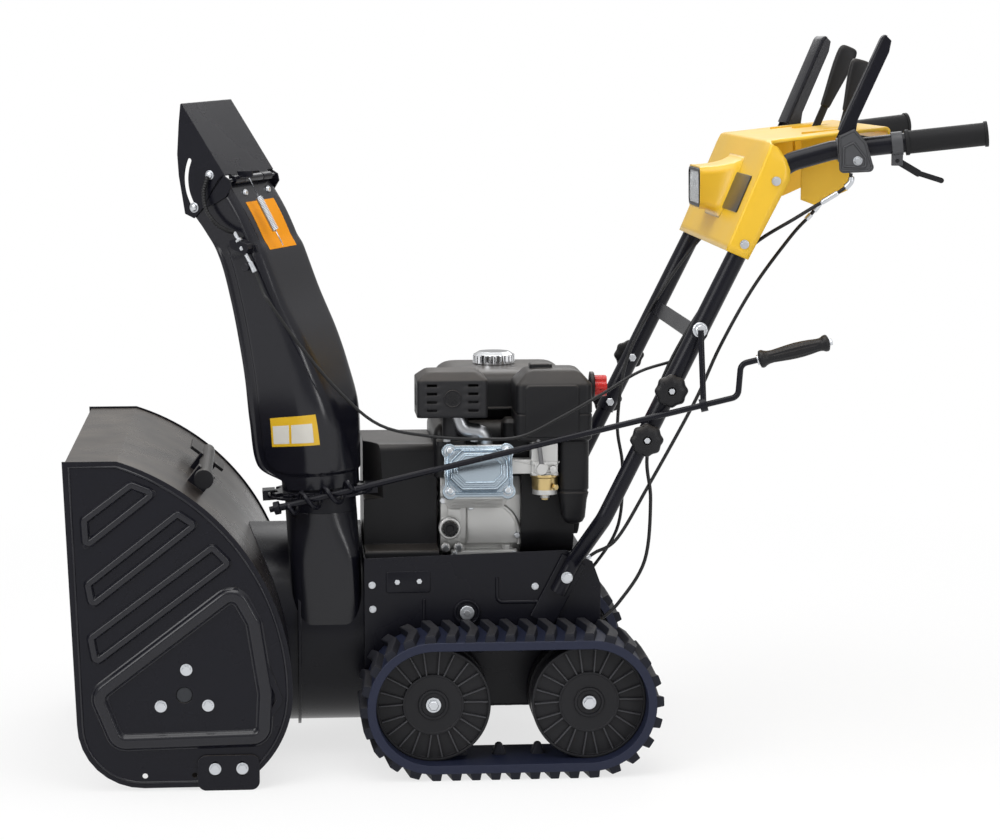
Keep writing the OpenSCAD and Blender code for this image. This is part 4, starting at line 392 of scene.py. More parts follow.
def skin(grid, wrap=True, ends=True, gone=None):
    """Quads between neighbouring rows and columns of a grid; wrap joins the last column to the
    first, ends closes the first and last row with one face each, and gone marks quads left out."""
    grid = np.asarray(grid, float)
    m, n = grid.shape[:2]
    i = np.arange(m - 1)[:, None]
    j = np.arange(n if wrap else n - 1)[None, :]
    k = (j + 1) % n
    quads = np.stack(np.broadcast_arrays(i * n + j, i * n + k, (i + 1) * n + k, (i + 1) * n + j), -1)
    faces = (quads.reshape(-1, 4) if gone is None else quads[~gone]).tolist()
    if ends:
        faces += [list(range(n))[::-1], list(range((m - 1) * n, m * n))]
    return grid.reshape(-1, 3), faces


def skins(*grids):
    """Closed skins of several grids."""
    return [skin(grid) for grid in grids]


def open_strip(*lines):
    """Open skin between lines of points."""
    return skin(np.stack(lines), False, False)


def piece(name, parts, finish, body, smooth_angle=38, outward=True):
    """One object of several skins, joined where their edges meet, with the faces turned outwards
    and shaded smooth up to the given angle."""
    counts = np.cumsum([0] + [len(v) for v, f in parts])
    mesh = bpy.data.meshes.new(name)
    faces = [[c + int(base) for c in corner] for (v, f), base in zip(parts, counts) for corner in f]
    mesh.from_pydata(np.vstack([v for v, f in parts]).tolist(), [], faces)
    work = bmesh.new()
    work.from_mesh(mesh)
    bmesh.ops.remove_doubles(work, verts=work.verts, dist=1e-6)
    if outward:
        bmesh.ops.recalc_face_normals(work, faces=work.faces)
    work.to_mesh(mesh)
    work.free()
    mesh.polygons.foreach_set("use_smooth", np.ones(len(mesh.polygons), bool))
    mesh.set_sharp_from_angle(angle=math.radians(smooth_angle))
    mesh.materials.append(finish)
    made = bpy.data.objects.new(name, mesh)
    scene.collection.objects.link(made)
    if body:
        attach(made, body)
    return made


def turned(profile, start, axis, sides=28):
    """Turned part: a profile of (distance along the axis, radius) spun about the axis from start."""
    profile = np.asarray(profile, float)
    axis = unit_rows(np.asarray(axis, float))
    other = np.array([0, 0, 1.0]) if abs(axis[2]) < 0.9 else np.array([1.0, 0, 0])
    out = unit_rows(np.cross(axis, other))
    over = np.cross(out, axis)
    a = np.linspace(0, 2 * math.pi, sides, endpoint=False)[None, :, None]
    spoke = np.cos(a) * out + np.sin(a) * over
    return np.asarray(start, float) + profile[:, 0:1, None] * axis + profile[:, 1:2, None] * spoke


def rod_between(a, b, radius, sides=24, round_off=0.0006):
    """Plain rod from a to b with slightly rounded ends."""
    a, b = np.asarray(a, float), np.asarray(b, float)
    length = np.linalg.norm(b - a)
    e = min(round_off, radius * 0.4, length * 0.3)
    return turned([(0, radius - e), (e, radius), (length - e, radius), (length, radius - e)], a, b - a, sides)


def chute_rod(forward, height, low, high, radius):
    """Rod across the chute at one place of its side, from low to high sideways."""
    return rod_between(chute_spot(forward, low, height), chute_spot(forward, high, height), radius)


chute_r = np.linspace(0, 1, 120)
half_across = np.concatenate([np.linspace(0, 0.25, 6), np.linspace(0.25, 0.5, 14)[1:],
                              np.linspace(0.5, 1, 44)[1:]])
chute_a = np.concatenate([-half_across[:0:-1], half_across])
chute_outside = chute_wall(chute_r, chute_a, 0)
chute_inside = chute_wall(chute_r, chute_a, CHUTE_SHEET)
chute_parts = [skin(np.concatenate([chute_outside, chute_inside[:, ::-1]], 1), True, False),
               open_strip(chute_outside[0], chute_inside[0]), open_strip(chute_outside[-1], chute_inside[-1])]
chute_parts += skins(chute_rod(*HINGE, -KNUCKLE_HALF, KNUCKLE_HALF, 0.007),
                     chute_rod(*HINGE, -PIN_HALF, PIN_HALF, 0.0035), chute_rod(60, 380, -96, -76, 0.007))
chute_shell = piece("chute_shell", chute_parts, chute_paint, "chute", 40)
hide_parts("chute")

# Outlet duct: the drum's outlet, a round tube under the ring that is squared off towards the drum so
# that its flat side runs on into the drum's side. Welded sheet with the chute's paint.
DUCT_R = 60.4
DUCT_SIDES = 96
CHASSIS_PLATE = -269.6
DUCT_ROWS = [(-40, 2.0), (-60, 2.3), (-80, 2.9), (-100, 3.8), (-120, 4.8), (-145, 5.4), (-230, 5.6)]


def squared(angle, power):
    """Circle of radius 1 pressed towards a square: cosine and sine raised to a power, signs kept."""
    c, s = np.cos(angle), np.sin(angle)
    return np.sign(c) * np.abs(c) ** power, np.sign(s) * np.abs(s) ** power


def outlet_duct(height, square):
    """Ring of the duct at a height below the chute's ring, cut flat where the chassis plate stands."""
    x, y = squared(np.linspace(0, 2 * math.pi, DUCT_SIDES, endpoint=False), 2 / square)
    x = np.minimum(x * DUCT_R + CHUTE_FOOT[0] - height * math.sin(CHUTE_LEAN), CHASSIS_PLATE)
    z = np.full(DUCT_SIDES, CHUTE_FOOT[2] + height * math.cos(CHUTE_LEAN))
    return np.stack([x, y * DUCT_R + CHUTE_FOOT[1], z], -1) / 1000


piece("outlet_duct", skins(np.stack([outlet_duct(*row) for row in DUCT_ROWS])), chute_paint, "machine",
      50)


# Handle tubes: a thinner lower tube bolted to each side of the chassis, an upper tube sleeved over
# it and bent back to the grip, and a flat strap welded between. Drawn steel, powder coated.
def swept(path, radius, sides=20, up=(0.3, 0.9, 0.31)):
    """Tube: at each path point a circle of the given radius, square to the path's direction."""
    path = np.asarray(path, float)
    along = unit_rows(np.gradient(path, axis=0))
    out = unit_rows(np.cross(along, np.asarray(up, float)))
    over = np.cross(out, along)
    a = np.linspace(0, 2 * math.pi, sides, endpoint=False)[None, :, None]
    r = np.broadcast_to(np.asarray(radius, float).reshape(-1, 1, 1), (len(path), 1, 1))
    return path[:, None, :] + r * (np.cos(a) * out[:, None, :] + np.sin(a) * over[:, None, :])


def bent(points, radius, steps=10):
    """Straight runs joined by arcs: an arc starts the radius times the tangent of half the turn
    before its corner, and swings about a centre square to the run it leaves."""
    p = np.asarray(points, float)
    runs = [p[:1]]
    for before, corner, after in zip(p, p[1:], p[2:]):
        u = unit_rows(corner - before)
        w = unit_rows(after - corner)
        turn = math.acos(float(u @ w))
        side = unit_rows(w - (w @ u) * u)
        centre = corner - u * radius * math.tan(turn / 2) + side * radius
        a = np.linspace(0, turn, steps)[:, None]
        runs.append(centre - side * radius * np.cos(a) + u * radius * np.sin(a))
    return np.vstack(runs + [p[-1:]])


def bar_profile(width, thick, rounding, steps=5):
    """Outline of a flat bar: a rectangle whose corners are quarter circles."""
    a = np.linspace(0, math.pi / 2, steps)
    turn = np.concatenate([a + k * math.pi / 2 for k in range(4)])
    corner = np.repeat(np.array([(1, 1), (-1, 1), (-1, -1), (1, -1)], float), steps, 0)
    core = np.array([width / 2 - rounding, thick / 2 - rounding])
    return corner * core + rounding * np.stack([np.cos(turn), np.sin(turn)], -1)


def carried(profile, path, first, second):
    """A flat profile set square across a path: its two axes lie along first and second."""
    first, second = unit_rows(np.asarray(first, float)), unit_rows(np.asarray(second, float))
    shape = profile[:, 0:1] * first + profile[:, 1:2] * second
    return np.asarray(path, float)[:, None, :] + shape[None]


MIRROR = np.array([1.0, -1.0, 1.0])
ACROSS = np.array([0, 1.0, 0])
HANDLE_Y = 0.248
TUBE_LOW = np.array([0.128, HANDLE_Y, 0.420])
TUBE_CORNER = np.array([0.420, HANDLE_Y, 1.006])
TUBE_RUN = unit_rows(TUBE_CORNER - TUBE_LOW)
RISE = np.array([0.500, 0.253, 1.028])
GRIP_END = np.array([0.750, 0.292, 1.056])
GRIP_RUN = unit_rows(GRIP_END - RISE)
LOWER_R, LOWER_BEND = 0.0135, 0.040
UPPER_R, UPPER_BEND = 0.0161, 0.055
STRAP_Z, STRAP_HALF = 0.726, 0.2318
TUBE_UP = (0.05, 1, 0.02)
wear(frame_paint, "lower_handles", "upper_handles")


def tube_at(z):
    """Point of the right handle tube at a height."""
    return TUBE_LOW + TUBE_RUN * ((z - TUBE_LOW[2]) / TUBE_RUN[2])


lower_line = bent([(0.056, 0.2035, 0.288), (0.082, 0.2035, 0.340), TUBE_LOW, tube_at(0.672)], LOWER_BEND)
upper_line = bent([tube_at(0.540), TUBE_CORNER, RISE, GRIP_END - GRIP_RUN * 0.004], UPPER_BEND, 14)
strap_line = np.array([(tube_at(STRAP_Z)[0], y, STRAP_Z) for y in (-STRAP_HALF, STRAP_HALF)])
strap = carried(bar_profile(0.027, 0.004, 0.0019), strap_line, TUBE_RUN, np.cross(TUBE_RUN, ACROSS))
handle_parts = skins(strap)
for flip in (np.ones(3), MIRROR):
    handle_parts += skins(swept(lower_line * flip, LOWER_R, 32, TUBE_UP),
                          swept(upper_line * flip, UPPER_R, 36, TUBE_UP))
handle_tubes = piece("handle_tubes", handle_parts, frame_paint, "machine", 50)
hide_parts("lower_handles", "upper_handles")

# Chute crank: one bent rod with a wire worm wound on near the ring and a crooked hand end. Painted
# black; the worm is welded on and its turns ride in the ring's notches.
WORM_AT = np.array([-0.33962, -0.205, 0.45541])
CRANK_EYE = np.array([0.287, -0.288, 0.614])
CRANK_RUN = unit_rows(CRANK_EYE - WORM_AT)
CRANK_R, CRANK_BEND = 0.005, 0.014
GRIP_TURN = unit_rows(np.array([142.0, -16.0, 36.0]))
WORM_TURNS, WORM_COIL, WORM_WIRE = 3, 0.015, 0.004
WORM_PITCH = 2 * math.pi * 0.080 / 13
wear(frame_paint, "crank_rod")
crank_elbow = CRANK_EYE + CRANK_RUN * 0.058
crank_top = crank_elbow + np.array([0.004, -0.001, 0.054])
crank_hand = crank_top + GRIP_TURN * 0.030
crank_line = bent([WORM_AT - CRANK_RUN * 0.088, crank_elbow, crank_top, crank_hand + GRIP_TURN * 0.120],
                  CRANK_BEND, 9)
worm_in = unit_rows(ACROSS - CRANK_RUN * CRANK_RUN[1])
worm_up = np.cross(CRANK_RUN, worm_in)
worm_t = np.linspace(0, WORM_TURNS, 97)[:, None]
worm_angle = 2 * math.pi * (worm_t - WORM_TURNS / 2)
worm_reach = WORM_COIL * np.minimum(1, np.minimum(5 * worm_t, 5 * (WORM_TURNS - worm_t)))
worm_line = (WORM_AT + CRANK_RUN * WORM_PITCH * (worm_t - WORM_TURNS / 2)
             + worm_reach * (np.cos(worm_angle) * worm_in + np.sin(worm_angle) * worm_up))
crank_parts = skins(swept(crank_line, CRANK_R, 20, (0, 1, 0.1)), swept(worm_line, WORM_WIRE, 12, CRANK_RUN))
crank_shape = piece("crank_bar", crank_parts, frame_paint, "crank", 50)
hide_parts("crank_rod")

# Deflector spring: one zinc wire wound in close turns with straight hooks, from a lug on the chute
# to an arm of the deflector, which it pulls back. It spans the hinge.
SPRING_TURNS, SPRING_R, SPRING_WIRE = 24, 0.0050, 0.0011
COIL_FROM, COIL_SHARE, HOOK_SHARE = 0.22, 0.50, 0.06
wear(zinc, "deflector_spring")
spring_a = chute_spot(20, -33.5, 410)
spring_b = chute_spot(68, -47.5, 524)
spring_run = unit_rows(spring_b - spring_a)
spring_len = np.linalg.norm(spring_b - spring_a)
spring_out = unit_rows(np.cross(spring_run, (0, 0, 1.0)))
spring_over = np.cross(spring_run, spring_out)
wind = np.linspace(0, 1, SPRING_TURNS * 16 + 1)[:, None]
wind_angle = 2 * math.pi * SPRING_TURNS * wind
wind_r = SPRING_R * step(np.minimum(wind, 1 - wind), 0.0, 0.015)
coil = (spring_a + spring_run * spring_len * (COIL_FROM + COIL_SHARE * wind)
        + wind_r * (np.cos(wind_angle) * spring_out + np.sin(wind_angle) * spring_over))
hook = spring_run * spring_len * HOOK_SHARE
spring_line = np.vstack([spring_a, spring_a + hook, coil, spring_b - hook, spring_b])
spring_coil = piece("deflector_spring_coil", skins(swept(spring_line, SPRING_WIRE, 8, spring_run)), zinc,
                    None, 60)
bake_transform(spring_coil)
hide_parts("deflector_spring")

# Control console: one yellow sheet bent over from its foot to the operator's edge, with folded side
# flanges bolted to the handle tubes and two slots for the gear levers. Pressed, then powder coated.
CONSOLE_FOOT = (0.325, 0, 0.866)
CONSOLE_BEND = (0.400, 0, 1.044)
CONSOLE_BACK = (0.604, 0, 1.067)
CONSOLE_LIP = (0.606, 0, 1.045)
CONSOLE_T = 0.002
FOLD_R = 0.0045
SPEED_PIVOT = (0.514, 0.080)
CHUTE_PIVOT = (0.542, -0.060)
SPEED_SLOT = (0.508, 0.560)
CHUTE_SLOT = (0.518, 0.576)
SLOT_HALF = 0.005
EAR_SHAPE = [(-0.012, 0.988), (-0.016, 1.059), (0.016, 1.062), (0.012, 0.988)]
EAR_INNER, EAR_OUTER = 0.0074, 0.0104
YOKE_SIDE = [(0.470, 1.055), (0.470, 0.942), (0.494, 0.933), (0.550, 0.958), (0.556, 1.008), (0.562, 1.0625)]
console_paint = coat("console_paint", (0.78, 0.47, 0.018), 0.34, grain=1400, relief=0.08, edge=0.002,
                     mottle=0.05)
wear(console_paint, "console")
console_line = bent([CONSOLE_FOOT, CONSOLE_BEND, CONSOLE_BACK, CONSOLE_LIP], 0.0085, 9)
front_run = np.linspace(0, 1, 15)[1:-1, None] * (console_line[1] - console_line[0]) + console_line[0]
top_first, top_last = console_line[9], console_line[10]
top_x = np.sort(np.concatenate([np.linspace(top_first[0], top_last[0], 14)[1:-1], SPEED_SLOT, CHUTE_SLOT]))
top_z = top_first[2] + (top_x - top_first[0]) * (top_last[2] - top_first[2]) / (top_last[0] - top_first[0])
console_rows = np.vstack([console_line[:1], front_run, console_line[1:10],
                          np.stack([top_x, 0 * top_x, top_z], -1), console_line[10:]])
row_run = unit_rows(np.gradient(console_rows, axis=0))
row_in = np.stack([row_run[:, 2], 0 * row_run[:, 0], -row_run[:, 0]], -1)
row_at = np.concatenate([[0], np.cumsum(np.linalg.norm(np.diff(console_rows, axis=0), axis=-1))])
flange_deep = np.interp(row_at, [0, 0.153, 0.172, 0.190, 0.200], [0.040, 0.052, 0.037, 0.010, 0.006])
console_half = np.interp(row_at, [0, 0.186, 0.200], [0.2676, 0.2676, 0.2260])
slot_cols = np.array([-0.065, -0.055, 0.075, 0.085])
flat_cols = np.sort(np.concatenate([np.linspace(-1, 1, 25) * 0.215, slot_cols]))
fold = np.linspace(0, math.pi / 2, 6)[1:]


def console_sheet():
    """Sheet: each row crosses from flange to flange; beyond the flat middle a quarter circle folds
    it to the inward side and a straight flange follows."""
    reach = (console_half - FOLD_R)[:, None]
    flat = np.clip(flat_cols[None, :], -reach, reach)
    flat[:, 0], flat[:, -1] = -reach[:, 0], reach[:, 0]
    bend_y = reach + FOLD_R * np.sin(fold)
    bend_d = np.broadcast_to(FOLD_R * (1 - np.cos(fold)), bend_y.shape)
    down = np.linspace(0, 1, 5)[None, 1:] * (flange_deep[:, None] - FOLD_R) + FOLD_R
    edge_y = np.broadcast_to(reach + FOLD_R, down.shape)
    y = np.concatenate([-edge_y[:, ::-1], -bend_y[:, ::-1], flat, bend_y, edge_y], 1)
    d = np.concatenate([down[:, ::-1], bend_d[:, ::-1], 0 * flat, bend_d, down], 1)
    return console_rows[:, None, :] + y[..., None] * ACROSS + d[..., None] * row_in[:, None, :]


def within(values, low, high):
    """True where a value lies between low and high."""
    return (values > low) & (values < high)


def stiff_sheet(made, thick):
    """Gives a one-sided surface its sheet thickness, behind its face."""
    wall = made.modifiers.new("sheet", "SOLIDIFY")
    wall.thickness = thick
    wall.offset = -1
    wall.use_even_offset = True


def plate(outline, low, high):
    """Flat plate: an outline in x and z carried along y from low to high."""
    outline = np.asarray(outline, float)
    ring = np.stack([outline[:, 0], 0 * outline[:, 0], outline[:, 1]], -1)
    return np.stack([ring + (0, low, 0), ring + (0, high, 0)])


console_grid = console_sheet()[:, ::-1]
mid = (console_grid[1:, 1:] + console_grid[:-1, :-1]) / 2
slots_gone = np.zeros(mid.shape[:2], bool)
for pivot_y, slot_run in ((SPEED_PIVOT[1], SPEED_SLOT), (CHUTE_PIVOT[1], CHUTE_SLOT)):
    in_slot = within(mid[..., 0], *slot_run) & (np.abs(mid[..., 1] - pivot_y) < SLOT_HALF)
    slots_gone |= in_slot & (mid[..., 2] > CONSOLE_BEND[2] + 0.006)
yoke_parts = skins(plate(YOKE_SIDE, -0.150, -0.148), plate(YOKE_SIDE, 0.148, 0.150))
for pivot_x, pivot_y in (SPEED_PIVOT, CHUTE_PIVOT):
    ear = [(pivot_x + dx, z) for dx, z in EAR_SHAPE]
    yoke_parts += skins(plate(ear, pivot_y - EAR_OUTER, pivot_y - EAR_INNER),
                        plate(ear, pivot_y + EAR_INNER, pivot_y + EAR_OUTER))
piece("console_yokes", yoke_parts, console_paint, "machine", 30)
console_shell = piece("console_sheet", [skin(console_grid, False, False, slots_gone)], console_paint,
                      "machine", 40, outward=False)
stiff_sheet(console_shell, CONSOLE_T)
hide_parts("console")

# Headlamp: a hump drawn out of the console's front, painted with it, holding a black bezel and a
# ribbed clear lens of moulded plastic.
LAMP_LOW, LAMP_HIGH = 0.922, 0.994
LAMP_FRONT = 0.3125
LENS_HALF, LENS_IN = 0.0555, 0.0087
PANEL_LEAN = (CONSOLE_BEND[0] - CONSOLE_FOOT[0]) / (CONSOLE_BEND[2] - CONSOLE_FOOT[2])
wear(black_plastic, "headlamp")


def panel_face(z):
    """Front face of the console's panel at a height."""
    return CONSOLE_FOOT[0] + (z - CONSOLE_FOOT[2]) * PANEL_LEAN


def lamp_ring(half, inset, rounding, reach, droop=None):
    """Rounded rectangle in y and z, drawn in by inset from the lamp's height (droop below if it differs),
    each point set a share of the way from the panel to the lens."""
    low, high = LAMP_LOW + (inset if droop is None else droop), LAMP_HIGH - inset
    shape = bar_profile(2 * half, high - low, rounding, 8)
    y, z = shape[:, 0], shape[:, 1] + (low + high) / 2
    return np.stack([panel_face(z) * (1 - reach) + LAMP_FRONT * reach, y, z], -1)


hump_rings = []
for h in np.linspace(0, math.pi / 2, 12):
    flare = 1 - math.sin(h)
    hump_rings.append(lamp_ring(0.064 + 0.022 * flare, -0.018 * flare, 0.014, 1 - math.cos(h),
                                -0.014 * flare))
hump_rings += [lamp_ring(0.0615, 0.0025, 0.012, 1.0), lamp_ring(0.0605, 0.0035, 0.011, 0.86)]
piece("lamp_hump", skins(np.array(hump_rings)), console_paint, "machine", 50)
bezel_rings = [lamp_ring(0.0612, 0.003, 0.0115, 0.80), lamp_ring(0.0612, 0.003, 0.0115, 1.0),
               lamp_ring(0.0600, 0.0042, 0.0105, 1.03), lamp_ring(0.0560, 0.0082, 0.008, 1.03),
               lamp_ring(LENS_HALF, LENS_IN, 0.0078, 0.93)]
lamp_bezel = piece("lamp_bezel", skins(np.array(bezel_rings)), black_plastic, "machine", 40)
lens_clear = bpy.data.materials.new("lens_clear")
lens_clear.use_nodes = True
lens_tree = lens_clear.node_tree
lens_shader = lens_tree.nodes["Principled BSDF"]
lens_shader.inputs["Transmission Weight"].default_value = 0.55
lens_shader.inputs["IOR"].default_value = 1.49
lens_grain = node(lens_tree, "Group", {"Scale": 120}, node_tree=grain_tree)
lens_tone = node(lens_tree, "Mix", {"A": (0.62, 0.64, 0.66, 1), "B": (0.86, 0.88, 0.90, 1)}, data_type="RGBA")
lens_gloss = node(lens_tree, "MapRange", {"To Min": 0.06, "To Max": 0.2})
wire(lens_tree, (lens_grain, "Mottle", lens_tone, "Factor"), (lens_tone, "Result", lens_shader, "Base Color"),
     (lens_grain, "Mottle", lens_gloss, "Value"), (lens_gloss, "Result", lens_shader, "Roughness"))
lens_y = np.linspace(-1, 1, 97)[None, :] * LENS_HALF
lens_z = np.linspace(LAMP_LOW + LENS_IN, LAMP_HIGH - LENS_IN, 17)[:, None]
lens_mid = (LAMP_LOW + LAMP_HIGH) / 2
lens_bulge = 0.0022 * (1 - (lens_y / LENS_HALF) ** 2) * (1 - ((lens_z - lens_mid) / 0.0275) ** 2)
lens_ribs = 0.0005 * np.cos(2 * math.pi * lens_y / 0.007)
lens_grid = np.stack(np.broadcast_arrays(LAMP_FRONT + 0.0005 - lens_bulge - lens_ribs, lens_y, lens_z), -1)
lens_back = lens_grid * np.array([0, 1, 1]) + np.array([LAMP_FRONT + 0.0035, 0, 0])
lens_parts = [skin(lens_grid, False, False), skin(lens_back[:, ::-1], False, False)]
lens_parts += [open_strip(lens_grid[k], lens_back[k]) for k in (0, -1)]
lens_parts += [open_strip(lens_grid[:, k], lens_back[:, k]) for k in (0, -1)]
piece("lamp_lens", lens_parts, lens_clear, "machine", 30)
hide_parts("headlamp")

# Fuel tank: two pressed steel halves joined at a rolled seam, with a filler neck, standing on two
# brackets over the engine. Painted black; the cap is chromed.
tank_paint = coat("tank_paint", (0.009, 0.009, 0.0105), 0.34, grain=1400, relief=0.1, edge=0.002,
                  dust_and_light=DUST_AND_TOP_LIGHT, dust_and_light_amount=0.5, shine=0.26)
wear(black_plastic, "fuel_tank")
chrome_trim = coat("chrome_trim", (0.80, 0.81, 0.83), 0.1, metal=1.0, grain=800, relief=0.02, edge=0.001)
wear(chrome_trim, "fuel_cap")
UP = (0, 0, 1)


def plan_ring(x0, x1, y0, y1, z, rounding, steps=8):
    """Level ring: a rectangle in x and y with quarter-circle corners, at one height."""
    shape = bar_profile(x1 - x0, y1 - y0, rounding, steps)
    return np.stack([shape[:, 0] + (x0 + x1) / 2, shape[:, 1] + (y0 + y1) / 2, np.full(len(shape), z)], -1)


def pressed_box(x0, x1, y0, y1, corner, levels):
    """Closed pressing: level rings stacked up, each drawn in by its inset; levels are (height, inset)."""
    return np.array([plan_ring(x0 + d, x1 - d, y0 + d, y1 - d, z, max(corner - d, 0.006))
                     for z, d in levels])


def shoulder(z0, z1, d0, d1, steps):
    """Quarter-round from an upright wall at (z0, d0) over to a level top at (z1, d1)."""
    a = np.linspace(0, math.pi / 2, steps)
    return list(zip(z0 + (z1 - z0) * np.sin(a), d0 + (d1 - d0) * (1 - np.cos(a))))


tank_foot = [(0.560, 0.020)] + [(0.560 + 0.012 * t, 0.020 - 0.010 * t ** 0.5) for t in (0.2, 0.5, 1.0)]
tank_seam = [(0.5800, 0.007), (0.5806, 0.001), (0.5812, 0.0), (0.5838, 0.0), (0.5844, 0.001), (0.585, 0.008)]
tank_top = shoulder(0.622, 0.6455, 0.010, 0.050, 9) + [(0.6475, 0.080)]
filler = [(0, 0.030), (0.003, 0.026), (0.012, 0.026), (0.0125, 0.023)]
tank_parts = skins(pressed_box(-0.140, 0.102, -0.066, 0.178, 0.036, tank_foot + tank_seam + tank_top),
                   turned(filler, (-0.031, 0.056, 0.6465), UP, 40))
for bracket_y in (-0.018, 0.136):
    tank_parts += skins(pressed_box(-0.076, -0.036, bracket_y - 0.008, bracket_y + 0.008, 0.003,
                                    [(0.462, 0), (0.566, 0)]))
fuel_tank = piece("fuel_tank_shell", tank_parts, tank_paint, "machine", 40)
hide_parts("fuel_tank")


# Air cleaner: a moulded box with sloped shoulders and a framed side panel, a duct below it to the
# carburettor, a clip on its lid and a boss for the red choke knob. Grained black plastic.
def raised_panel(outline, face_y, lift, edge):
    """Raised panel on a wall that looks to -y: an outline in x and z, its edge rounded off to a flat
    face standing out by lift."""
    outline = np.asarray(outline, float)
    centre = outline.mean(0)
    size = np.abs(outline - centre).max()
    a = np.linspace(0, math.pi / 2, 6)
    rings = [(0.0, -0.003)] + [(edge * (1 - math.cos(t)), lift * math.sin(t)) for t in a]
    return np.array([np.stack([
        centre[0] + (outline[:, 0] - centre[0]) * (1 - d / size), np.full(len(outline), face_y - h),
        centre[1] + (outline[:, 1] - centre[1]) * (1 - d / size)], -1) for d, h in rings])


def rounded_window(x0, x1, z0, z1, rounding, steps=7):
    """Outline of a rounded rectangle in x and z."""
    return bar_profile(x1 - x0, z1 - z0, rounding, steps) + np.array([(x0 + x1) / 2, (z0 + z1) / 2])


BOX_FACE = -0.188
wear(black_plastic, "air_box")
red_plastic = coat("red_plastic", (0.55, 0.012, 0.008), 0.28, grain=1200, relief=0.05)
wear(red_plastic, "choke_knob")
box_levels = [(0.540, 0.010), (0.541, 0.006), (0.545, 0.001), (0.550, 0.0), (0.586, 0.0), (0.587, 0.0012),
              (0.589, 0.0012), (0.590, 0.0), (0.634, 0.0), (0.637, 0.0006), (0.640, 0.003), (0.654, 0.016),
              (0.658, 0.021), (0.6605, 0.028), (0.662, 0.040)]
duct_levels = [(0.398, 0.016), (0.402, 0.010), (0.410, 0.006), (0.440, 0.003), (0.452, 0.0), (0.454, 0.0015),
               (0.457, 0.0015), (0.459, 0.0), (0.545, 0.0)]
clip_levels = [(0.660, 0), (0.667, 0), (0.6685, 0.002), (0.669, 0.006)]
choke_boss = [(0, 0.024), (0.005, 0.024), (0.0065, 0.0225), (0.007, 0.020)]
box_parts = skins(pressed_box(-0.012, 0.116, BOX_FACE, -0.070, 0.012, box_levels),
                  raised_panel(rounded_window(0.003, 0.093, 0.549, 0.637, 0.007), BOX_FACE, 0.0025, 0.004),
                  pressed_box(0.062, 0.112, -0.178, -0.118, 0.014, duct_levels),
                  pressed_box(0.014, 0.052, -0.146, -0.114, 0.005, clip_levels),
                  turned(choke_boss, (0.116, -0.140, 0.630), (1, 0, 0), 36))
air_cleaner = piece("air_cleaner", box_parts, black_plastic, "machine", 35)
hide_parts("air_box")

# Muffler: a heat guard of pressed sheet with cooling slots and a round punched outlet, standing on
# the exhaust pipe. Heat-proof matt black.
GUARD_X, GUARD_Y = (-0.178, -0.060), (-0.190, -0.084)
GUARD_MID = np.mean([GUARD_X, GUARD_Y], 1)
GUARD_HALF = np.ptp([GUARD_X, GUARD_Y], 1) / 2
GUARD_T, GUARD_CORNER = 0.0018, 0.009
slot_x = np.array([-0.162, -0.145, -0.093, -0.076])
slot_z = np.array([0.5940, 0.5985, 0.6080, 0.6125, 0.6220, 0.6265, 0.6360, 0.6405])
end_slot_y = np.array([-0.170, -0.166, -0.154, -0.150, -0.138, -0.134, -0.122, -0.118])
muffler_paint = coat("muffler_paint", (0.016, 0.016, 0.018), 0.5, relief=0.2, edge=0.002,
                     dust_and_light=DUST_AND_TOP_LIGHT, dust_and_light_amount=0.5, shine=0.24)
wear(muffler_paint, "muffler")


def guard_columns():
    """Plan of the guard as one ring: rounded corners between walls split where the slots end."""
    r = GUARD_CORNER
    a = np.linspace(0, math.pi / 2, 6)
    front = np.sort(np.concatenate([slot_x, [-0.13, -0.119, -0.108]]))
    end = end_slot_y[::-1]
    left, right, near, far = GUARD_X[0] + r, GUARD_X[1] - r, GUARD_Y[0] + r, GUARD_Y[1] - r
    return np.vstack([np.stack([left - r * np.cos(a), near - r * np.sin(a)], -1),
                      np.stack([front, np.full(len(front), GUARD_Y[0])], -1),
                      np.stack([right + r * np.sin(a), near - r * np.cos(a)], -1),
                      np.stack([right + r * np.cos(a), far + r * np.sin(a)], -1),
                      np.stack([left - r * np.sin(a), far + r * np.cos(a)], -1),
                      np.stack([np.full(len(end), GUARD_X[0]), end], -1)])


def guard_ring(z, inset):
    """The guard's plan at a height, drawn in towards its middle by an inset."""
    flat = GUARD_MID + (guard_plan - GUARD_MID) * (1 - inset / GUARD_HALF)
    return np.concatenate([flat, np.full((len(flat), 1), z)], 1)


def in_any(values, bounds):
    """True where a value lies in one of the pairs of bounds."""
    return np.any([within(values, *pair) for pair in bounds.reshape(-1, 2)], 0)


guard_plan = guard_columns()
guard_rows = [(z, 0.0) for z in np.concatenate([[0.584, 0.590], slot_z, [0.645]])]
guard_rows += [(0.6462, 0.0006), (0.6475, 0.0018), (0.6575, 0.0150), (0.6590, 0.0185), (0.6597, 0.0230),
               (0.6602, 0.034)]
guard_grid = np.stack([guard_ring(*row) for row in guard_rows])
cell = (guard_grid[1:] + guard_grid[:-1]) / 2
cell = (cell + np.roll(cell, -1, 1)) / 2
cell_x, cell_y, cell_z = np.moveaxis(cell, -1, 0)
front_gone = (cell_y < GUARD_Y[0] + 0.0005) & in_any(cell_x, slot_x) & in_any(cell_z, slot_z)
end_gone = (cell_x < GUARD_X[0] + 0.0005) & in_any(cell_y, end_slot_y) & within(cell_z, slot_z[1], slot_z[6])
guard_top = (guard_grid[-1], [list(range(len(guard_plan)))])
guard_shell = piece("muffler_guard", [skin(guard_grid, True, False, front_gone | end_gone), guard_top],
                    muffler_paint, "machine", 40, outward=False)
stiff_sheet(guard_shell, GUARD_T)
drum = [(0, 0.026), (0.003, 0.031), (0.007, 0.033), (0.098, 0.033), (0.102, 0.031), (0.105, 0.026)]
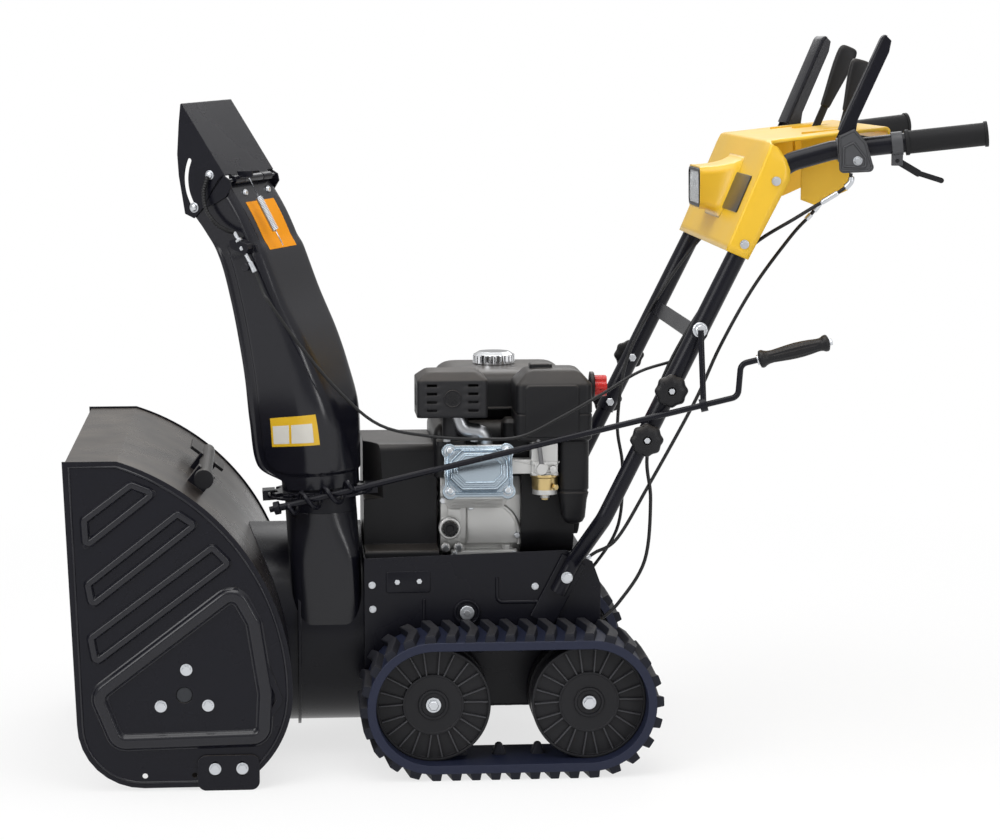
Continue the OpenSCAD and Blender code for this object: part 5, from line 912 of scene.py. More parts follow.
drum_parts = skins(turned(drum, (-0.1715, -0.137, 0.620), (1, 0, 0), 40),
                   turned([(0, 0.0145), (0.075, 0.0145)], (-0.120, -0.150, 0.515), UP, 28),
                   pressed_box(-0.144, -0.096, -0.170, -0.130, 0.008,
                               [(0.5335, 0), (0.541, 0), (0.5415, 0.0008)]))
piece("muffler_drum", drum_parts, muffler_paint, "machine", 40)
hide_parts("muffler")


LEVER_ROUTE = np.array([
    (527, 284, 992.2), (520, 281, 970), (448, 258, 922), (366, 222, 862), (289, 218, 761),
    (226, 214, 640), (206, 202, 520), (214, 190, 441), (206, 181, 337), (164, 177, 266),
    (130, 181, 236), (108, 183.7, 228)]) / 1000
GEAR_ROUTE = np.array([
    (512, -144, 948), (490, -142, 918), (455, -140, 879), (392, -140, 793), (337, -140, 694),
    (294, -140, 599), (216, -140, 456), (164, -140, 368), (126, -141, 344), (108, -142, 332.3)]) / 1000
CABLE_R = 0.003
CABLE_UP = (0.15, 0.95, 0.1)
SLEEVES = ((0.03, 0.10, 0.0052), (0.115, 0.15, 0.0045), (0.93, 0.985, 0.005))
SLEEVE_STEPS = 400
cable_sleeve = coat("cable_sleeve", (0.010, 0.010, 0.011), 0.42, grain=1800, relief=0.1, edge=0.0006,
                    shine=0.3)
wear(cable_sleeve, "control_cables", "deflector_cable")
cable_routes = {"left_lever_cable": LEVER_ROUTE * MIRROR, "right_lever_cable": LEVER_ROUTE,
                "speed_cable": GEAR_ROUTE}
sleeve_parts = []
for cable_name, route in cable_routes.items():
    line = smooth_path(route, 8)
    sheath = piece(cable_name, skins(swept(line, CABLE_R, 16, CABLE_UP)), cable_sleeve, "machine")
    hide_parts("control_cables")
    along_line = np.linspace(0, len(line) - 1, SLEEVE_STEPS)
    fine = np.stack([np.interp(along_line, np.arange(len(line)), line[:, k]) for k in range(3)], -1)
    for first, last, radius in SLEEVES:
        part = fine[int(first * (SLEEVE_STEPS - 1)):int(last * (SLEEVE_STEPS - 1))]
        shape = np.full(len(part), radius)
        shape[[0, -1]] = radius * 0.7
        sleeve_parts += skins(swept(part, shape, 14, CABLE_UP))
piece("cable_ends", sleeve_parts, zinc, "machine", 40)

# Deflector cable: one sheathed wire from the strap between the handles, sagging past the engine to a
# stop on the side of the turning chute.
cable_foot = np.array([chute_spot(44, -90, 371), chute_spot(36, -92, 354), chute_spot(26, -97, 334)])
DEFLECTOR_ROUTE = np.array([
    (-424, -192, 783), (-372, -204, 709), (-307, -218, 632), (-242, -232, 579), (-160, -242, 561),
    (-78, -247, 556), (-11, -247, 559), (55, -240, 589), (123, -232, 625), (190, -218, 662),
    (257.0, -205, 682.1), (271.0, -205, 708.1)]) / 1000
DEFLECTOR_CABLE_R = 0.0026
deflector_line = smooth_path(np.vstack([cable_foot, DEFLECTOR_ROUTE]), 6)[::-1]
deflector_sheath = piece("deflector_cable_sheath",
                         skins(swept(deflector_line, DEFLECTOR_CABLE_R, 16, (0.1, 0.95, 0.2))), cable_sleeve,
                         None)
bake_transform(deflector_sheath)
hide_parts("deflector_cable")

# Side plates: stiffening loops pressed out of the sheet as flat-topped ridges, and a fine step that
# runs round just inside the plate's edge. One sheet with the plate, but painted a little lighter than the
# plate, as a painted highlight along the ridges.
AUGER_AXIS = np.array([-0.565, 0.158])
PLATE_FACE = 0.350
SIDES = ((-1, "left"), (1, "right"))
SLANT_LOOPS = np.array([[(-155, 289), (-80, 345), (-45, 331), (-153, 247)],
                        [(-151, 185), (-7, 297), (20, 279), (-145, 151)],
                        [(-148, 97), (48, 242), (73, 216), (-141, 57)]]) / 1000 + AUGER_AXIS
BEARING_LOOP = np.array([(-140, 3), (84, 172), (113, 118),
                         (131, 0), (127, -73), (-108, -77)]) / 1000 + AUGER_AXIS
# Lighter and glossier than the plate's paint: a painted highlight along the ridges.
ridge_highlight_paint = coat("ridge_highlight_paint", (0.0070, 0.0071, 0.0112), 0.19, grain=1300, relief=0.06, edge=0.0018,
                   shine=0.40)


def pressed_ridge(loop, width, height, slope):
    """Ridge along a closed loop in x and z: its cross section climbs smoothly from the face to a flat
    crest and falls again, and its foot is closed just inside the sheet. The rise is the y column."""
    along = unit_rows(np.roll(loop, -1, 0) - np.roll(loop, 1, 0))
    across = np.stack([-along[:, 1], along[:, 0]], -1)
    t = np.linspace(-1, 1, 17)
    rise = np.concatenate([height * step(1 - np.abs(t), 0, slope), [-0.0006, -0.0006]])
    offset = np.concatenate([t, [1, -1]]) * width / 2
    flat = loop[:, None, :] + offset[None, :, None] * across[:, None, :]
    grid = np.stack([flat[..., 0], np.broadcast_to(rise[None, :], flat.shape[:2]), flat[..., 1]], -1)
    return np.concatenate([grid, grid[:1]])


def round_loop(corners, rounding):
    """Closed loop of straight runs and arcs through corners in x and z."""
    p = np.asarray(corners, float)
    start = (p[0] + p[-1]) / 2
    return bent(np.vstack([start, p, start]), rounding, 8)[:-1]


def plate_edge(inset):
    """Outline of a side plate drawn in by inset: raked front edge, lower corner, floor, and the two
    arcs of the back up to the top edge; metres."""
    def arc(cx, cz, r, first, last, count):
        a = np.radians(np.linspace(first, last, count))
        return np.stack([cx + r * np.cos(a), cz + r * np.sin(a)], -1)
    top = 541 - inset
    low_a = math.degrees(math.asin((153 - inset) / (175 - inset)))
    high_a = math.degrees(math.asin((top - 158) / (403 - inset)))
    edge = np.vstack([[(-754 + 1.2 * inset, top)], arc(-631, 112, 107 - inset, 180, 270, 12),
                      arc(-565, 158, 175 - inset, -low_a, 0, 16), arc(-793, 158, 403 - inset, 3, high_a, 30)])
    return edge / 1000


plate_ridges = [pressed_ridge(round_loop(loop, 0.005), 0.0150, 0.0056, 0.55) for loop in SLANT_LOOPS]
plate_ridges.append(pressed_ridge(round_loop(BEARING_LOOP, 0.020), 0.0290, 0.0078, 0.6))
plate_ridges.append(pressed_ridge(plate_edge(9), 0.0050, 0.0018, 0.8))
for side, side_name in SIDES:
    stand = np.array([1, side, 1])
    ridge_parts = [skin((ridge + (0, PLATE_FACE, 0)) * stand, True, False) for ridge in plate_ridges]
    piece(side_name + "_plate_ridges", ridge_parts, ridge_highlight_paint, "machine", 60)

# Augers: two helical steel ribbons a side, with a bitten edge that chops packed snow, welded by flat
# arms to a tube on the auger shaft. Painted, and rubbed bright at the edges.
AUGER_R, AUGER_IN, AUGER_OUT, AUGER_TURNS = 0.143, 0.055, 0.313, 0.9
RIBBON_INNER, RIBBON_HALF, TUBE_R = 0.099, 0.002, 0.0175
BITE_DEPTH, BITES = 0.007, 12


def auger_ribbon(side, phase):
    """Ribbon of four edges wound round the auger's axis from the gearbox outwards; rounded bites draw its
    outer edge in twelve times."""
    t = np.linspace(0, 1, 145)[:, None]
    a = phase + 2 * math.pi * AUGER_TURNS * t
    outer = AUGER_R - BITE_DEPTH * (0.5 - 0.5 * np.cos(2 * BITES * math.pi * t))
    inner = RIBBON_INNER + 0 * t
    reach = np.concatenate([inner, outer, outer, inner], 1)
    y = side * (AUGER_IN + (AUGER_OUT - AUGER_IN) * t) + RIBBON_HALF * np.array([[-1, -1, 1, 1]])
    return np.stack([AUGER_AXIS[0] + reach * np.cos(a), y, AUGER_AXIS[1] + reach * np.sin(a)], -1)


def auger_spot(side, share):
    """Point of the auger's axis at a share of the way from the gearbox to the side plate."""
    return np.array([AUGER_AXIS[0], side * (AUGER_IN + (AUGER_OUT - AUGER_IN) * share), AUGER_AXIS[1]])


for side, side_name in SIDES:
    auger_parts = skins(rod_between(auger_spot(side, 0), auger_spot(side, 1), TUBE_R))
    for phase in (0.0, math.pi):
        auger_parts += skins(auger_ribbon(side, phase))
        for t in (0.12, 0.5, 0.88):
            a = phase + 2 * math.pi * AUGER_TURNS * t
            out = np.array([math.cos(a), 0, math.sin(a)])
            arm_line = auger_spot(side, t) + np.array([[0.0155], [0.119]]) * out
            arm = carried(bar_profile(0.032, 0.008, 0.0015), arm_line, np.cross(out, ACROSS), ACROSS)
            auger_parts += skins(arm)
    auger_flight = piece(side_name + "_auger_flight", auger_parts, auger_paint, "auger", 30)
    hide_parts(side_name + "_auger")


# Film places on the chute: a plain orange one on the back and a yellow one with two pale fields low on
# the left wall. Coloured film with no print on it, stuck flat to the paint.
def film_patch(rows, across, lift):
    """Thin patch that follows the chute's wall between two rows and two places across it."""
    r = np.linspace(*rows, 14)
    a = np.linspace(*across, 18)
    front = chute_wall(r, a, 0, lift)
    behind = chute_wall(r, a, 0, lift - 1.0)[:, ::-1]
    return [skin(np.concatenate([front, behind], 1), True, False), open_strip(front[0], behind[0][::-1]),
            open_strip(front[-1], behind[-1][::-1])]


orange_film = coat("orange_film", (0.80, 0.29, 0.002), 0.50, grain=700, relief=0.04, edge=0.0004, mottle=0.06,
                   shine=0.12)
yellow_film = coat("yellow_film", (0.66, 0.40, 0.012), 0.34, grain=700, relief=0.04, edge=0.0004, mottle=0.06)
pale_film = coat("pale_film", (0.62, 0.60, 0.55), 0.36, grain=700, relief=0.04, edge=0.0004, mottle=0.05)
orange_patch = film_patch((0.775, 0.930), (-0.190, 0.175), 0.5)
piece("chute_orange_place", orange_patch, orange_film, "chute")
yellow_patch = film_patch((0.272, 0.338), (-0.785, -0.405), 0.5)
piece("chute_yellow_place", yellow_patch, yellow_film, "chute")
pale_patches = film_patch((0.278, 0.318), (-0.765, -0.600), 0.8)
pale_patches += film_patch((0.278, 0.318), (-0.575, -0.430), 0.8)
piece("chute_pale_fields", pale_patches, pale_film, "chute")

# Deflector fittings: cheeks that close the hinge side of each wing, guide studs in the wing slots, and
# domed hinge bolts under the pin. Black pressed sheet; the bolts are zinc plated.
WING_IN, WING_T = 78.0, 2.5
STUD_AT = (158, 480)
CHEEK = [(98, 532), (86, 524), (84, 512), (96, 496), (116, 486), (142, 478), (122, 508), (106, 528)]
chute_side = unit_rows(chute_spot(0, 1, 0) - chute_spot(0, 0, 0))
chute_back = unit_rows(chute_spot(-1, 0, 0) - chute_spot(0, 0, 0))


def chute_prism(outline, low, high):
    """An outline in forward and height carried sideways from low to high, in chute coordinates."""
    o = np.asarray(outline, float)
    return np.stack([on_chute(o[:, 0], np.full(len(o), v), o[:, 1]) for v in (low, high)])


def domed_bolt(at, axis, radius, height):
    """Flange and domed head: a flat ring, then a quarter-round up to a small flat top."""
    a = np.linspace(0, math.pi / 2, 6)
    dome = [(0.0012 + (height - 0.0012) * math.sin(t), radius * (0.35 + 0.45 * math.cos(t))) for t in a]
    return turned([(-0.002, radius), (0.0008, radius), (0.0012, radius * 0.96)] + dome, at, axis, 28)


cheek_parts = skins(*[chute_prism(CHEEK, side * WING_IN, side * (WING_IN + WING_T)) for side in (-1, 1)])
piece("deflector_cheeks", cheek_parts, frame_paint, "deflector", 30)
stud_parts = []
for side in (-1, 1):
    stud_at = chute_spot(STUD_AT[0], side * (WING_IN + WING_T + 0.4), STUD_AT[1])
    stud_parts += skins(domed_bolt(stud_at, side * chute_side, 0.0085, 0.006),
                        chute_rod(*STUD_AT, side * 75, side * 84, 0.0036))
for place in (-0.13, 0.17):
    spot = chute_wall(np.array([0.962, 0.963]), np.array([place]), 0)[0, 0]
    stud_parts += skins(domed_bolt(spot, chute_back, 0.0066, 0.0045))
piece("chute_bolts", stud_parts, zinc, "chute", 35)
wing_bolt = chute_spot(124, -(WING_IN + WING_T), 533)
piece("wing_bolt", skins(domed_bolt(wing_bolt, -chute_side, 0.0080, 0.006)), zinc, "deflector", 35)


# Deflector pull: an adjuster of zinc tube in a black bracket on the chute's wall, and a bare cable in a
# wound guard from it to the bolt of the wing.
def hexagon_nut(start, axis, across, height):
    """Hexagon head or nut: six flats with both rims chamfered."""
    r = across / math.sqrt(3)
    return turned([(0, r * 0.9), (0.0005, r), (height - 0.0010, r), (height, r * 0.84)], start, axis, 6)


adjuster = [chute_spot(44, -90, 371), chute_spot(52, -91, 388), chute_spot(77, -92, 438)]
adjust_run = adjuster[2] - adjuster[0]
adjust_parts = skins(rod_between(adjuster[0], adjuster[1], 0.0042),
                     rod_between(adjuster[1], adjuster[2], 0.0030),
                     hexagon_nut(chute_spot(62, -91.5, 408), adjust_run, 0.012, 0.007),
                     hexagon_nut(chute_spot(69, -91.7, 422), adjust_run, 0.012, 0.005))
piece("cable_adjuster", adjust_parts, zinc, "chute", 30)
bracket_eye = [(50, 410), (58, 400), (84, 412), (86, 424), (74, 428), (52, 418)]
bracket_foot = [(44, 404), (56, 396), (60, 410), (48, 416)]
piece("adjuster_bracket", skins(chute_prism(bracket_eye, -97, -76), chute_prism(bracket_foot, -78, -44)),
      frame_paint, "chute", 30)
guard_marks = [(92, -93, 442), (112, -94, 455), (128, -93, 478), (132, -90, 506), (125, -85, 531)]
guard_line = smooth_path([adjuster[2]] + [chute_spot(*mark) for mark in guard_marks], 24)
guard_swell = 0.0033 + 0.0007 * np.cos(np.arange(len(guard_line)) * 2 * math.pi / 4)
guard_coil = piece("cable_guard", skins(swept(guard_line, guard_swell, 12, (0.2, 0.1, 0.95))), cable_sleeve,
                   None, 60)
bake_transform(guard_coil)

# Track wheels: moulded nylon, each with a shallow dished face, pairs of straight ribs round it, a raised
# disc and a hub cap. The ribs are painted lighter than the web, as a painted highlight along them. The
# front pair carry their axle bolts; zinc hexagon heads.
WHEEL_FACE = 0.300
AXLE_Z = 0.122
FRONT_AXLE, REAR_AXLE = -0.159, 0.099
RIB_PAIRS = 11
WHEEL_PROFILE = np.array([
    (9, -94), (24, -94.6), (25, -93), (26, -88), (75, -86), (88, -88), (90, -94), (94, -94.8), (95, -93.8),
    (95, -63.5), (94, -62.5), (77, -61.5), (75.5, -60), (75.5, -35), (77, -33.5), (94, -32.5), (95, -31.5),
    (95, -1.4), (94.4, -0.5), (93.2, -0.3), (91.4, -0.3), (90.8, -0.9), (90.2, -6.6), (89.6, -7.0),
    (86, -7.0), (80, -6.9), (74, -6.8), (68, -6.7), (62, -6.6), (57, -6.5), (51.6, -6.4), (51.0, -5.6),
    (50.6, -0.9), (50.0, -0.4), (47.8, -0.4), (47.2, -0.9), (46.6, -1.6), (40, -1.8), (25.8, -1.8),
    (25.2, -1.2), (24.8, 1.4), (24.2, 2.0), (22.0, 2.2), (20.6, 1.8), (19.4, -0.6), (12, -1.0),
    (9, -1.0)]) / 1000
wheel_plastic = coat("wheel_plastic", (0.013, 0.013, 0.015), 0.44, grain=1200, edge=0.0014, shine=0.21)
wear(wheel_plastic, "left_front_wheel", "left_rear_wheel", "right_front_wheel", "right_rear_wheel")
# Ribs lighter than the web: a painted highlight along them.
wheel_rib_highlight = coat("wheel_rib_highlight", (0.036, 0.036, 0.041), 0.40, grain=1200, relief=0.1, edge=0.0010, shine=0.4)


def wheel_face(x, side):
    """Wheel turned about its axle: rings of a profile with a groove round the rim and a dished web."""
    a = np.linspace(0, 2 * math.pi, 120, endpoint=False)[None, :]
    r = WHEEL_PROFILE[:, 0:1] + 0 * a
    h = WHEEL_PROFILE[:, 1:2] + 0 * a
    return np.stack([x + r * np.cos(a), side * (WHEEL_FACE + h), AXLE_Z + r * np.sin(a)], -1)


def web_rib(x, side, middle, lean):
    """Straight rib on the web from the disc to the rim, set to one side of its pair's middle line."""
    reach, turn = np.array([0.0500, 0.0902]), middle + lean * np.array([0.095, 0.135])
    height = np.full(2, side * (WHEEL_FACE - 0.0042))
    path = np.stack([x + reach * np.cos(turn), height, AXLE_Z + reach * np.sin(turn)], -1)
    return carried(bar_profile(0.0027, 0.0066, 0.0010), path, np.cross(path[1] - path[0], ACROSS), ACROSS)


rib_turns = 2 * math.pi * (np.arange(RIB_PAIRS) + 0.3) / RIB_PAIRS
for side, side_name in SIDES:
    for x, end_name, shaft_from in ((FRONT_AXLE, "front", 0.130), (REAR_AXLE, "rear", 0.206)):
        body = side_name + "_" + end_name + "_wheel"
        axle = rod_between((x, side * shaft_from, AXLE_Z), (x, side * 0.3015, AXLE_Z), 0.0095)
        track_wheel = piece(body + "_moulding", skins(wheel_face(x, side), axle), wheel_plastic, body,
                            30)
        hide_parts(body)
        rib_parts = skins(*[web_rib(x, side, turn, lean) for turn in rib_turns for lean in (-1, 1)])
        piece(body + "_ribs", rib_parts, wheel_rib_highlight, body, 30)
        bolt_at = np.array([x, side * 0.3005, AXLE_Z])
        if end_name == "front":
            head = skins(turned([(0, 0.0125), (0.0016, 0.0125), (0.002, 0.012)], bolt_at, (0, side, 0), 36),
                         hexagon_nut(bolt_at + (0, side * 0.001, 0), (0, side, 0), 0.0155, 0.0075))
            piece(body + "_bolt", head, zinc, body, 25)

# Rubber tracks: one endless moulded band with tapered chevron bars outside, rounded drive teeth inside
# and a smooth blue-black edge. They stand on the bars of the lower run.
RUN = REAR_AXLE - FRONT_AXLE
BAND_R = 0.104
TURN_RUN = math.pi * BAND_R
LOOP = 2 * RUN + 2 * math.pi * BAND_R
LUGS, TEETH = 36, 18
TRACK_MID, TEETH_MID = 0.2625, 0.2525
BAR_HALF, BAR_LEAD = 0.0670, 0.0055
BAND_SECTION = [(-0.0675, -0.0078), (-0.0675, 0.0048), (-0.0664, 0.0060), (0.0664, 0.0060), (0.0675, 0.0048),
                (0.0675, -0.0078), (0.0664, -0.0086), (-0.0664, -0.0086)]
BAR_ROWS = [(-0.003, 0.0105, 1.0), (0.002, 0.0098, 1.0), (0.0115, 0.0078, 0.985), (0.0168, 0.0070, 0.97),
            (0.0178, 0.0056, 0.955)]
TOOTH_ROWS = [(-0.006, 0.013, 0.0115), (-0.012, 0.0110, 0.011), (-0.019, 0.0080, 0.010),
              (-0.0245, 0.0058, 0.009), (-0.0268, 0.003, 0.006)]
track_rubber = coat("track_rubber", (0.0095, 0.0105, 0.0165), 0.58, grain=500, relief=0.3,
                    dust_and_light=(0.09, 0.085, 0.08), shine=0.19)
wear(track_rubber, "left_track", "right_track")
band_rubber = coat("band_rubber", (0.012, 0.0155, 0.036), 0.52, grain=500, relief=0.25, edge=0.0012,
                   shine=0.28)


def on_loop(s, out, y):
    """Point on the track's loop: s metres along the band, out metres off its outer face."""
    s = np.asarray(s, float) % LOOP
    turn = np.clip((s - RUN) / TURN_RUN, 0, 1) + np.clip((s - 2 * RUN - TURN_RUN) / TURN_RUN, 0, 1)
    x = FRONT_AXLE + np.clip(s, 0, RUN) - np.clip(s - RUN - TURN_RUN, 0, RUN)
    a = math.pi / 2 - turn * math.pi
    r = BAND_R + out
    return np.stack(np.broadcast_arrays(x + r * np.cos(a), y, AXLE_Z + r * np.sin(a)), -1)


def track_bar(s, mid):
    """Chevron bar: across the band its middle leads, its sides taper to a narrower crown and its ends
    slope in; rows of (height off the band, half length, share of the width) climb to the crown."""
    across = np.array([-BAR_HALF, -0.0650, -0.040, -0.006, 0.006, 0.040, 0.0650, BAR_HALF])
    lead = BAR_LEAD * (1 - np.abs(across) / BAR_HALF) * 2 - BAR_LEAD
    ring_y = np.concatenate([across, across[::-1]])
    rows = []
    for out, half, shrink in BAR_ROWS:
        ring_s = np.concatenate([lead - half, (lead + half)[::-1]])
        rows.append(on_loop(s + ring_s, out, mid + ring_y * shrink))
    return np.stack(rows)


def drive_tooth(s, mid):
    """Rounded tooth on the inside of the band, narrowing to its tip, in rows of (height off the band,
    half length, half width)."""
    c, d = squared(np.linspace(0, 2 * math.pi, 20, endpoint=False), 0.5)
    return np.stack([on_loop(s + half * c, out, mid + wide * d) for out, half, wide in TOOTH_ROWS])


run_steps, turn_steps = np.linspace(0, RUN, 3)[:-1], np.linspace(0, TURN_RUN, 40)
band_s = np.concatenate([run_steps, RUN + turn_steps[:-1], RUN + TURN_RUN + run_steps,
                         2 * RUN + TURN_RUN + turn_steps])
for side, side_name in SIDES:
    mid = side * TRACK_MID
    band = np.stack([on_loop(band_s, out, mid + y) for y, out in BAND_SECTION], 1)
    band_piece = piece(side_name + "_track_band", [skin(band, True, False)], band_rubber, "machine",
                       35)
    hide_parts(side_name + "_track")
    track_parts = skins(*[track_bar(LOOP * k / LUGS, mid) for k in range(LUGS)])
    track_parts += skins(*[drive_tooth(LOOP * (k + 0.25) / TEETH, side * TEETH_MID) for k in range(TEETH)])
    piece(side_name + "_track_bars", track_parts, track_rubber, "machine", 35)

# Crank grip: a moulded spindle that turns freely on the crank's end, with shallow flutes along it, a
# flared end and a zinc nut that keeps it on. Black plastic.
GRIP_PROFILE = np.array([(0, 8.5), (0.6, 12.6), (2, 14.2), (5, 15.0), (8, 14.6), (11, 12.6), (16, 11.0),
                         (24, 10.6), (36, 11.6), (50, 12.8), (62, 13.3), (74, 13.1), (86, 12.2), (96, 11.0),
                         (102, 10.7), (106, 11.6), (109, 13.4), (112, 14.0), (115, 13.6), (117, 11.6),
                         (118, 8)]) / 1000
FLUTES, FLUTE_DEPTH = 12, 0.0009
wear(black_plastic, "crank_grip")
grip_s = np.linspace(0, GRIP_PROFILE[-1, 0], 70)
grip_radius = np.interp(grip_s, GRIP_PROFILE[:, 0], GRIP_PROFILE[:, 1])
grip_side = unit_rows(np.cross(GRIP_TURN, (0, 0, 1.0)))
grip_over = np.cross(grip_side, GRIP_TURN)
grip_angle = np.linspace(0, 2 * math.pi, 96, endpoint=False)
flute_reach = FLUTE_DEPTH * step(grip_s, 0.016, 0.026) * (1 - step(grip_s, 0.094, 0.102))
flute = flute_reach[:, None] * (0.5 - 0.5 * np.cos(FLUTES * grip_angle))[None, :]
grip_spoke = np.cos(grip_angle)[:, None] * grip_side + np.sin(grip_angle)[:, None] * grip_over
spindle = (crank_hand + GRIP_TURN * grip_s[:, None, None]
           + (grip_radius[:, None] - flute)[..., None] * grip_spoke[None])
crank_spindle = piece("crank_spindle", skins(spindle), black_plastic, "crank_grip", 50)
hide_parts("crank_grip")

# Star knobs: moulded eight-lobed heads on the screws that clamp the upper tubes over the lower ones, each
# with a zinc screw end in its hollow and a hexagon head on the inner side.
KNOB_Z = (0.555, 0.636)
KNOB_R, KNOB_LOBE = 26.4, 1.3
KNOB_NECK = [(2, 12), (4.2, 12)]
KNOB_HEAD = [(4.8, 0.86), (6.5, 0.97), (9, 1), (12.5, 1), (14.5, 0.97), (16.5, 0.90), (18.2, 0.78),
             (19.4, 0.62), (20, 0.48)]
KNOB_HOLLOW = [(20.2, 9.0), (20, 7.4), (15, 6.8)]
wear(black_plastic, "handle_knobs")
knob_turn = np.linspace(0, 2 * math.pi, 160, endpoint=False)


def star_knob(at, side):
    """Rings along y: a round neck, then rings of a radius that swells eight times round, drawn in at the
    crown, and a round hollow in the middle."""
    lobes = KNOB_R + KNOB_LOBE * np.cos(8 * knob_turn)
    rings = [(h, r + 0 * lobes) for h, r in KNOB_NECK] + [(h, lobes * k) for h, k in KNOB_HEAD]
    rings += [(h, r + 0 * lobes) for h, r in KNOB_HOLLOW]
    return np.stack([np.stack([at[0] + r / 1000 * np.cos(knob_turn),
                               np.full(len(r), at[1] + side * (UPPER_R + h / 1000)),
                               at[2] + r / 1000 * np.sin(knob_turn)], -1) for h, r in rings])


knob_parts, knob_screws = [], []
for flip in (np.ones(3), MIRROR):
    side = flip[1]
    for knob_z in KNOB_Z:
        knob_at = tube_at(knob_z) * flip
        knob_parts += skins(star_knob(knob_at, side))
        screw_end = knob_at + (0, side * (UPPER_R + 0.0148), 0)
        screw_head = knob_at - (0, side * (UPPER_R - 0.0005), 0)
        knob_screws += skins(hexagon_nut(screw_end, (0, side, 0), 0.0100, 0.0046),
                             hexagon_nut(screw_head, (0, -side, 0), 0.013, 0.0062))
star_knobs = piece("star_knobs", knob_parts, black_plastic, "machine", 40)
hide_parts("handle_knobs")
piece("knob_screws", knob_screws, zinc, "machine", 25)

# Dead-man levers: folded channels that close over the grips, hung on trunnions of a moulded clamp. The
# sheet is black; the clamp's outer cheek has a ribbed pocket with one zinc screw.
LEVER_AT = np.array([521.6, 256.4, 1030.4])
GRIP_YAW = math.radians(8.87)
LEVER_LEAN = math.radians(66)
LEVER_IN, LEVER_SHEET, LEVER_FOLD = 22.0, 2.5, 4
CLAMP_OUT = LEVER_IN + LEVER_SHEET + 5
CHEEK_CORNERS = [(-10.5, -8.5), (-10.5, 8.5), (12, 19.5), (194.8, 19.5), (190, 6.5), (172, 2.2), (52, 2.2),
                 (30, -4), (10, -8.5)]
POCKET_CORNERS = [(-3, -27), (-3, 4), (13, 12), (33, -14), (33, -28)]
RIM_CORNERS = [(-8, -34), (-9.5, 20), (13, 31), (31.5, 11), (43, -28), (37, -34)]
WEB_RUNS = ((24, 0.0), (60, 0.0), (150, 0.0), (186, 0.0), (191, 0.9), (194.6, 3.2))
lever_plastic = coat("lever_plastic", (0.05, 0.051, 0.056), 0.45, grain=1500, edge=0.002)
wear(lever_plastic, "lever_brackets")
wear(black_plastic, "left_lever", "right_lever", "left_trigger", "right_trigger")


def on_handle(x, y, z, side):
    """Lever coordinates in millimetres (along the grip, outwards, up) turned to the grip's splay and set
    on the left (-1) or right (1) handle; metres."""
    c, s = math.cos(GRIP_YAW), math.sin(GRIP_YAW)
    place = (LEVER_AT[0] + x * c - y * s, side * (LEVER_AT[1] + x * s + y * c), LEVER_AT[2] + z)
    return np.stack(np.broadcast_arrays(*place), -1) / 1000


def lever_side(outline):
    """Turns an outline given along and across the lever into the lever's rest lean."""
    o = np.asarray(outline, float)
    c, s = math.cos(LEVER_LEAN), math.sin(LEVER_LEAN)
    return np.stack([o[:, 0] * c - o[:, 1] * s, o[:, 0] * s + o[:, 1] * c], -1)


cheek = lever_side(round_loop(CHEEK_CORNERS, 2.2))
fold_turn = np.linspace(0, math.pi / 2, 6)
fold_in, fold_up = LEVER_FOLD * (1 - np.cos(fold_turn)), LEVER_FOLD * np.sin(fold_turn)
half = LEVER_IN + LEVER_SHEET
across = np.concatenate([[-half], -half + fold_in, half - fold_in[::-1], [half]])
over = np.concatenate([[19.2], 19.4 + fold_up, 19.4 + fold_up[::-1], [19.2]])
under = np.maximum(over - 2.4, 18.6)
back = np.concatenate([np.stack([across, over], -1), np.stack([across, under], -1)[::-1]])
pocket = pressed_ridge(round_loop(POCKET_CORNERS, 4.0), 4.2, 2.0, 0.7)
rim = pressed_ridge(round_loop(RIM_CORNERS, 3.5), 3.4, 1.6, 0.7)
for side, side_name in SIDES:
    lever_parts = []
    for low in (-LEVER_IN - LEVER_SHEET, LEVER_IN):
        faces = [on_handle(cheek[:, 0], y, cheek[:, 1], side) for y in (low, low + LEVER_SHEET)]
        lever_parts += skins(np.stack(faces))
    web = []
    for run, drop in WEB_RUNS:
        line = lever_side(np.stack([np.full(len(back), float(run)), back[:, 1] - drop], -1))
        web.append(on_handle(line[:, 0], back[:, 0], line[:, 1], side))
    lever_parts += skins(np.stack(web))
    lever_body = side_name + "_lever"
    lever_sheet = piece(lever_body + "_channel", lever_parts, frame_paint, lever_body, 35)
    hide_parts(lever_body)
    clamp_parts = [skin(on_handle(g[..., 0], CLAMP_OUT + g[..., 1], g[..., 2], side), True, False)
                   for g in (pocket, rim)]
    piece(side_name + "_clamp_cheek", clamp_parts, lever_plastic, "machine", 60)
    screw, ahead = on_handle(20.0, CLAMP_OUT + np.array([-0.5, 5.0]), -18.0, side)
    screw_parts = skins(domed_bolt(screw, ahead - screw, 0.0075, 0.0050),
                        hexagon_nut(screw, ahead - screw, 0.0100, 0.0068))
    piece(side_name + "_clamp_screw", screw_parts, zinc, "machine", 30)

# Gear levers: flat bars on pins under the console with moulded paddles, broad and rounded at the top.
# Black plastic on black steel.
PADDLES = {"speed_lever": ((0.514, 0.080, 1.000), (0.556, 0.080, 1.098), (0.597, 0.080, 1.197)),
           "chute_lever": ((0.542, -0.060, 1.000), (0.566, -0.060, 1.092), (0.589, -0.060, 1.175))}
PADDLE_SHARE = np.array([-0.05, -0.045, 0.0, 0.1, 0.25, 0.45, 0.65, 0.82, 0.90, 0.95, 0.98, 0.995, 1.0])
PADDLE_WIDE = np.array([6.0, 8.0, 8.8, 9.8, 11.6, 14.2, 16.4, 17.2, 16.9, 15.8, 13.6, 10.0, 5.0]) / 1000
PADDLE_THICK = np.array([4.5, 5.6, 6.0, 6.3, 6.8, 7.6, 8.3, 8.6, 8.3, 7.5, 6.2, 4.4, 2.0]) / 1000
wear(black_plastic, "speed_lever", "chute_lever")
